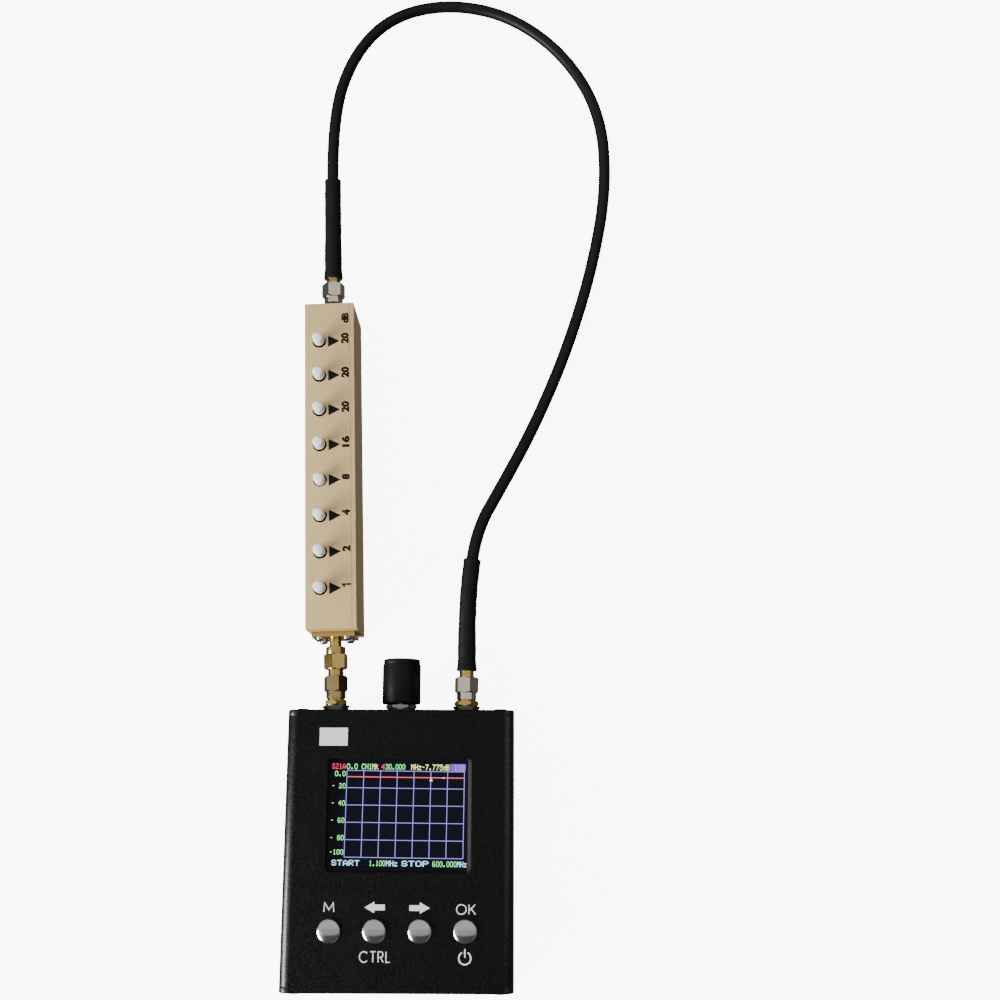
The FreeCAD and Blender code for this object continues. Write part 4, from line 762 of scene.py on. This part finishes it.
def addButton(setup, count, name):
    radius, crown = setup["buttonRadius"], setup["crown"]
    top = setup["face"] + setup["rise"] - setup["latched"].get(name, 0.0)
    profile = [(top - 5.2, radius), (top - 1.15, radius), (top - crown, radius - 0.01)]
    for part in range(1, 11):
        angle = math.pi / 2 * part / 10
        reach = radius * math.cos(angle) ** 0.62 + 0.012
        profile.append((top - crown + crown * math.sin(angle), reach))
    along = setup["first"] + count * setup["pitch"]
    at = onLeft(setup["start"]) @ Matrix.Translation((setup["buttonAcross"], along, 0))
    stands, shape = ["attenuator_button_" + name], {"upright": True, "sharp": 50.0, "steps": 48}
    look, body = looks["button"], "button_" + name
    turnedPiece("pushCap_" + name, profile, look, body, "button_white", at, stands, **shape)


for count, name in enumerate(attenuatorSetup["names"]):
    addButton(attenuatorSetup, count, name)
print("keys and buttons are in")

# ink marks: flat letters and signs a hair above their face

inkHeight = 0.03


def flatMark(name, outlines, look, body, at, thickness=inkHeight):
    # each outline is a list of points; the marks are thin slabs
    points, faces = [], []
    for outline in outlines:
        first, count = len(points), len(outline)
        points += [(x, y, 0.0) for x, y in outline] + [(x, y, thickness) for x, y in outline]
        faces.append(tuple(range(first + count, first + 2 * count)))
        faces.append(tuple(reversed(range(first, first + count))))
        faces += [
            (first + i, first + (i + 1) % count, first + count + (i + 1) % count, first + count + i)
            for i in range(count)
        ]
    return addPiece(name, points, faces, look, body, sharp=30.0, at=at)


def stroke(points, width):
    # one flat ribbon along a line of points, as quads with mitred corners
    last = len(points) - 1
    sides = []
    for i, (x, y) in enumerate(points):
        before = points[max(i - 1, 0)]
        after = points[min(i + 1, last)]
        a = Vector((x - before[0], y - before[1]))
        b = Vector((after[0] - x, after[1] - y))
        a = a.normalized() if a.length > 1e-9 else b.normalized()
        b = b.normalized() if b.length > 1e-9 else a
        normal = Vector((-(a.y + b.y), a.x + b.x)).normalized()
        reach = width / 2 / max(normal.dot(Vector((-a.y, a.x))), 0.45)
        across, up = normal.x * reach, normal.y * reach
        sides.append(((x + across, y + up), (x - across, y - up)))
    return [[sides[i][0], sides[i][1], sides[i + 1][1], sides[i + 1][0]] for i in range(last)]


def arcPoints(cx, cy, rx, ry, start, end, count):
    angles = [math.radians(start + (end - start) * i / count) for i in range(count + 1)]
    return [(cx + rx * math.cos(angle), cy + ry * math.sin(angle)) for angle in angles]


def boxOutline(left, low, right, high):
    return [(left, low), (right, low), (right, high), (left, high)]


def letterStrokes(letter):  # strokes in a unit box, width then lines
    bowl = [(0.0, 0.0), (0.0, 1.0), (0.26, 1.0)] + arcPoints(0.28, 0.73, 0.27, 0.27, 90, -90, 14)
    shapes = {
        "M": (0.94, [[(0.0, 0.0), (0.06, 1.0), (0.47, 0.22), (0.88, 1.0), (0.94, 0.0)]]),
        "O": (1.02, [arcPoints(0.51, 0.5, 0.51, 0.5, 0, 352, 40) + [(1.02, 0.5)]]),
        "K": (0.68, [[(0.0, 0.0), (0.0, 1.0)], [(0.64, 1.0), (0.06, 0.46)], [(0.2, 0.58), (0.68, 0.0)]]),
        "C": (0.92, [arcPoints(0.5, 0.5, 0.5, 0.5, 42, 318, 36)]),
        "T": (0.62, [[(0.0, 1.0), (0.62, 1.0)], [(0.31, 1.0), (0.31, 0.0)]]),
        "R": (0.60, [bowl + [(0.0, 0.46)], [(0.26, 0.46), (0.60, 0.0)]]),
        "L": (0.48, [[(0.0, 1.0), (0.0, 0.0), (0.48, 0.0)]]),
    }
    return shapes[letter]


def wordOutlines(word, left, low, right, high, width, gap=0.3):
    total = sum(letterStrokes(letter)[0] for letter in word) + gap * (len(word) - 1)
    across = (right - left) / total
    up = high - low
    outlines, at = [], 0.0
    for letter in word:
        span, lines = letterStrokes(letter)
        for line in lines:
            placed = [(left + (at + x) * across, low + y * up) for x, y in line]
            outlines += stroke(placed, width)
        at += span + gap
    return outlines


legendSetup = {
    "height": 28.0,
    "ink": 0.36,
    "mode": ("M", -25.9, -21.76, -22.4, -18.60),
    "ok": ("OK", 21.05, -22.42, 27.75, -19.11),
    "ctrl": ("CTRL", -12.90, -38.72, -2.14, -35.14),
    "arrows": ((-11.51, -4.33, -20.17), (11.52, 4.34, -20.35)),  # tip, tail, height on the panel
    "arrowHead": 3.45,
    "arrowShaft": 0.98,  # half of its width
    "power": (24.10, -37.25),
    "powerSize": (2.1, 2.15),
    "powerBar": (-34.1, -37.0),
    "powerInk": 0.5,
    "badge": (-29.28, 36.27, -19.05, 42.67),
}
panelFace = Matrix.Translation((0, 0, legendSetup["height"]))


def addLegends(setup):
    outlines = []
    for key in ("mode", "ok", "ctrl"):
        word, left, low, right, high = setup[key]
        outlines += wordOutlines(word, left, low, right, high, setup["ink"])
    shaft = setup["arrowShaft"]
    for tip, tail, y in setup["arrows"]:
        head = tip + math.copysign(setup["arrowHead"], tail - tip)
        outlines.append([(head, y + shaft), (head, y - shaft), (tail, y - shaft), (tail, y + shaft)])
        outlines.append([(tip, y), (head, y - 2 * shaft), (head, y + 2 * shaft)])
    middle = setup["power"][0]
    ring = arcPoints(*setup["power"], *setup["powerSize"], 118, 422, 40)
    bar = [(middle, end) for end in setup["powerBar"]]
    outlines += stroke(ring, setup["powerInk"]) + stroke(bar, setup["powerInk"])
    flatMark("panelLegends", outlines, looks["legend"], "case", panelFace)
    badge = boxOutline(*setup["badge"])
    flatMark("plainBadge", [badge], looks["badge"], "case", panelFace, 0.05)


addLegends(legendSetup)


def printedText(name, entries, look, body, at, bold):
    # entries: words, left, low, right, high; each is turned a quarter and fitted to its box
    points, faces = [], []
    for words, left, low, right, high in entries:
        data = bpy.data.curves.new("typeset", "FONT")
        data.body = words
        data.offset = bold
        data.resolution_u = 3
        shape = bpy.data.objects.new("typeset", data)
        scene.collection.objects.link(shape)
        evaluated = shape.evaluated_get(bpy.context.evaluated_depsgraph_get())
        mesh = bpy.data.meshes.new_from_object(evaluated)
        xs, ys = [-v.co.y for v in mesh.vertices], [v.co.x for v in mesh.vertices]
        startX, startY = min(xs), min(ys)
        across = (right - left) / (max(xs) - startX)
        up = (high - low) / (max(ys) - startY)
        first = len(points)
        for x, y in zip(xs, ys):
            points.append((left + (x - startX) * across, low + (y - startY) * up, inkHeight))
        faces += [tuple(first + index for index in polygon.vertices) for polygon in mesh.polygons]
        bpy.data.objects.remove(shape)
        bpy.data.curves.remove(data)
        bpy.data.meshes.remove(mesh)
    return addPiece(name, points, faces, look, body, at=at)


def addAttenuatorMarks(setup):
    face = onLeft(setup["start"]) @ Matrix.Translation((0, 0, setup["face"]))
    ink = looks["blackInk"]
    low, high = setup["figures"]
    rows = [setup["first"] + count * setup["pitch"] for count in range(len(setup["steps"]))]
    triangles = [[(x, row + y) for x, y in setup["triangle"]] for row in rows]
    one = stroke([(x, rows[0] + y) for x, y in setup["one"]], setup["oneInk"])
    numbers = []
    for row, words in list(zip(rows, setup["steps"]))[1:]:
        half = (setup["digit"] if len(words) == 1 else setup["twoDigits"]) / 2
        shift = setup["markShift"]
        numbers.append((words, low, row - half + shift, high, row + half + shift))
    left, start, right, end = setup["unit"]
    numbers.append(("dB", left, rows[-1] + start, right, rows[-1] + end))
    flatMark("stepTriangles", triangles, ink, "case", face)
    flatMark("stepOne", one, ink, "case", face)
    printedText("stepNumbers", numbers, ink, "case", face, setup["bold"])


addAttenuatorMarks(attenuatorSetup)

# picture on the screen

screenSetup = {
    "centre": (-0.45, 12.15),
    "height": 25.56,
    "turn": -0.6,
    "left": -18.97,
    "right": 23.65,
    "low": -15.37,
    "high": 15.17,
    "columns": 7,
    "rows": 5,
    "line": 0.24,
    "traceLine": 0.36,
    "traceHeight": 12.95,
    "marker": [(11.0, 11.7), (12.2, 11.7), (11.6, 13.1)],
    "dot": (16.1, 12.9, 0.28, 0.28),
    "box": (18.6, 15.3, 24.1, 17.95),
    "colours": {
        "grid": ((0.34, 0.32, 1.0), 1.5),
        "trace": ((0.95, 0.10, 0.14), 1.6),
        "red": ((1.0, 0.04, 0.10), 1.9),
        "green": ((0.22, 1.0, 0.28), 2.2),
        "yellow": ((0.95, 1.0, 0.30), 2.2),
        "cyan": ((0.35, 0.80, 1.0), 2.6),
        "magenta": ((1.0, 0.10, 0.75), 1.8),
        "box": ((0.12, 0.12, 0.90), 1.2),
        "white": ((0.9, 0.9, 0.85), 1.8),
    },
    "words": [  # colour, words, left, low, right, high
        ("red", "S21A", -24.4, 15.65, -19.6, 17.65),
        ("green", "0.0", -19.1, 15.65, -15.2, 17.65),
        ("green", "CH1", -13.7, 15.65, -10.0, 17.65),
        ("yellow", "Mk", -9.9, 15.65, -7.6, 17.65),
        ("red", "4", -6.5, 15.65, -5.3, 17.65),
        ("green", "30.000", -5.1, 15.65, 2.1, 17.65),
        ("yellow", "MHz-7.775dB", 4.3, 15.65, 18.3, 17.65),
        ("magenta", "118", 19.9, 15.65, 23.6, 17.65),
        ("green", "0.0", -23.3, 13.1, -19.5, 14.95),
        ("green", "- 20", -24.3, 8.8, -19.3, 10.6),
        ("green", "- 40", -24.3, 2.7, -19.3, 4.5),
        ("green", "- 60", -24.3, -3.4, -19.3, -1.6),
        ("green", "- 80", -24.3, -9.5, -19.3, -7.7),
        ("green", "-100", -24.3, -14.5, -19.3, -12.7),
        ("cyan", "START", -23.4, -18.3, -13.4, -16.35),
        ("green", "1.100", -9.9, -18.3, -4.1, -16.35),
        ("cyan", "MHz", -3.8, -18.3, 0.2, -16.35),
        ("cyan", "STOP", 1.7, -18.3, 11.4, -16.35),
        ("green", "600.000", 12.8, -18.3, 21.4, -16.35),
        ("cyan", "MHz", 21.6, -18.3, 25.0, -16.35),
    ],
}

dotLetters = {  # seven rows of five dots
    "0": ".###. #...# #...# #...# #...# #...# .###.",
    "1": "..#.. .##.. ..#.. ..#.. ..#.. ..#.. .###.",
    "2": ".###. #...# ....# ..##. .#... #.... #####",
    "3": ".###. #...# ....# ..##. ....# #...# .###.",
    "4": "...#. ..##. .#.#. #..#. ##### ...#. ...#.",
    "5": "##### #.... ####. ....# ....# #...# .###.",
    "6": ".###. #.... #.... ####. #...# #...# .###.",
    "7": "##### ....# ...#. ..#.. ..#.. .#... .#...",
    "8": ".###. #...# #...# .###. #...# #...# .###.",
    "A": "..#.. .#.#. #...# #...# ##### #...# #...#",
    "B": "####. #...# #...# ####. #...# #...# ####.",
    "C": ".###. #...# #.... #.... #.... #...# .###.",
    "H": "#...# #...# #...# ##### #...# #...# #...#",
    "M": "#...# ##.## #.#.# #.#.# #...# #...# #...#",
    "O": ".###. #...# #...# #...# #...# #...# .###.",
    "P": "####. #...# #...# ####. #.... #.... #....",
    "R": "####. #...# #...# ####. #.#.. #..#. #...#",
    "S": ".###. #...# #.... .###. ....# #...# .###.",
    "T": "##### ..#.. ..#.. ..#.. ..#.. ..#.. ..#..",
    "d": "....# ....# .##.# #..## #...# #..## .##.#",
    "k": "#.... #..#. #.#.. ##... #.#.. #..#. #...#",
    "z": "..... ..... ##### ...#. ..#.. .#... #####",
    ".": "..... ..... ..... ..... ..... .##.. .##..",
    "-": "..... ..... ..... .###. ..... ..... .....",
    " ": "..... ..... ..... ..... ..... ..... .....",
}


def dotOutlines(words, left, low, right, high):
    # each run of lit dots in a row is one bar
    across = (right - left) / (6 * len(words) - 1)
    up = (high - low) / 7
    bars = []
    for place, letter in enumerate(words):
        for row, dots in enumerate(dotLetters[letter].split()):
            start = 0
            while start < 5:
                end = start
                while end < 5 and dots[end] == "#":
                    end += 1
                if end > start:
                    x0, x1 = left + (6 * place + start) * across, left + (6 * place + end) * across
                    bars.append(boxOutline(x0, high - (row + 1) * up, x1, high - row * up))
                start = end + 1
    return bars


def addScreen(setup):
    centre = Matrix.Translation((*setup["centre"], setup["height"]))
    at = centre @ Matrix.Rotation(math.radians(setup["turn"]), 4, "Z")
    glows = {name: glow("screen_" + name, *values) for name, values in setup["colours"].items()}
    left, right, low, high = (setup[key] for key in ("left", "right", "low", "high"))

    def lit(name, outlines, tint, thickness):
        flatMark(name, outlines, glows[tint], "case", at, thickness)

    lines = []
    for count in range(setup["columns"] + 1):
        x = left + (right - left) * count / setup["columns"]
        lines += stroke([(x, low), (x, high)], setup["line"])
    for count in range(setup["rows"] + 1):
        y = low + (high - low) * count / setup["rows"]
        lines += stroke([(left, y), (right, y)], setup["line"])
    lit("screenGrid", lines, "grid", 0.01)
    trace = [(left, setup["traceHeight"]), (right, setup["traceHeight"])]
    lit("screenTrace", stroke(trace, setup["traceLine"]), "trace", 0.02)
    lit("screenMarker", [setup["marker"], arcPoints(*setup["dot"], 0, 330, 11)], "white", 0.03)
    lit("screenBox", [boxOutline(*setup["box"])], "box", 0.01)
    for tint in ("red", "green", "yellow", "magenta", "cyan"):
        bars = []
        for wordTint, *entry in setup["words"]:
            if wordTint == tint:
                bars += dotOutlines(*entry)
        lit("screenText_" + tint, bars, tint, 0.02)


addScreen(screenSetup)
print("marks and picture are on")

# flange screws

screwSetup = {
    "spacing": 10.2,
    "radius": 1.6,
    "height": 1.3,
    "rim": 0.35,  # height of the straight side
    "steps": 32,
}


def addFlangeScrews(setup):
    radius, rim, steps, half = setup["radius"], setup["rim"], setup["steps"], setup["spacing"] / 2
    profile = [(0.0, radius)]
    for part in range(9):
        angle = math.pi / 2 * part / 8
        along = rim + (setup["height"] - rim) * math.sin(angle)
        profile.append((along, radius * math.cos(angle) ** 0.6 + 0.01))
    corners = [(-half, -half), (-half, half), (half, -half), (half, half)]
    points, faces = [], []
    for flange in (onLeft(tips["adapter"], True), onLeft(tips["attenuator"])):
        for across, up in corners:
            at = flange @ Matrix.Translation((across, -attenuatorSize["thread"], up))
            faces += ringFaces(len(profile), steps, first=len(points))
            points += [tuple(at @ Vector(point)) for point in turnedPoints(profile, steps=steps)]
    look, stands = looks["screwSteel"], ["flange_screws"]
    addPiece("flangeScrewHeads", points, faces, look, "case", stands, 50.0)


addFlangeScrews(screwSetup)

# softened edges on the machined pieces

edgeSetup = {
    "front_shell": 0.12,
    "top_end_plate": 0.12,
    "bottom_end_plate": 0.12,
    "attenuator_body": 0.15,
    "attenuator_front_cover": 0.15,
    "attenuator_back_cover": 0.15,
}
for name, width in edgeSetup.items():
    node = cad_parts[name]
    weld = node.modifiers.new("weld", "WELD")
    weld.merge_threshold = 1e-6
    bevel = node.modifiers.new("softEdge", "BEVEL")
    bevel.width = width * mm
    bevel.segments = 2
    bevel.limit_method = "ANGLE"
    bevel.angle_limit = math.radians(40)
print("edges are softened")
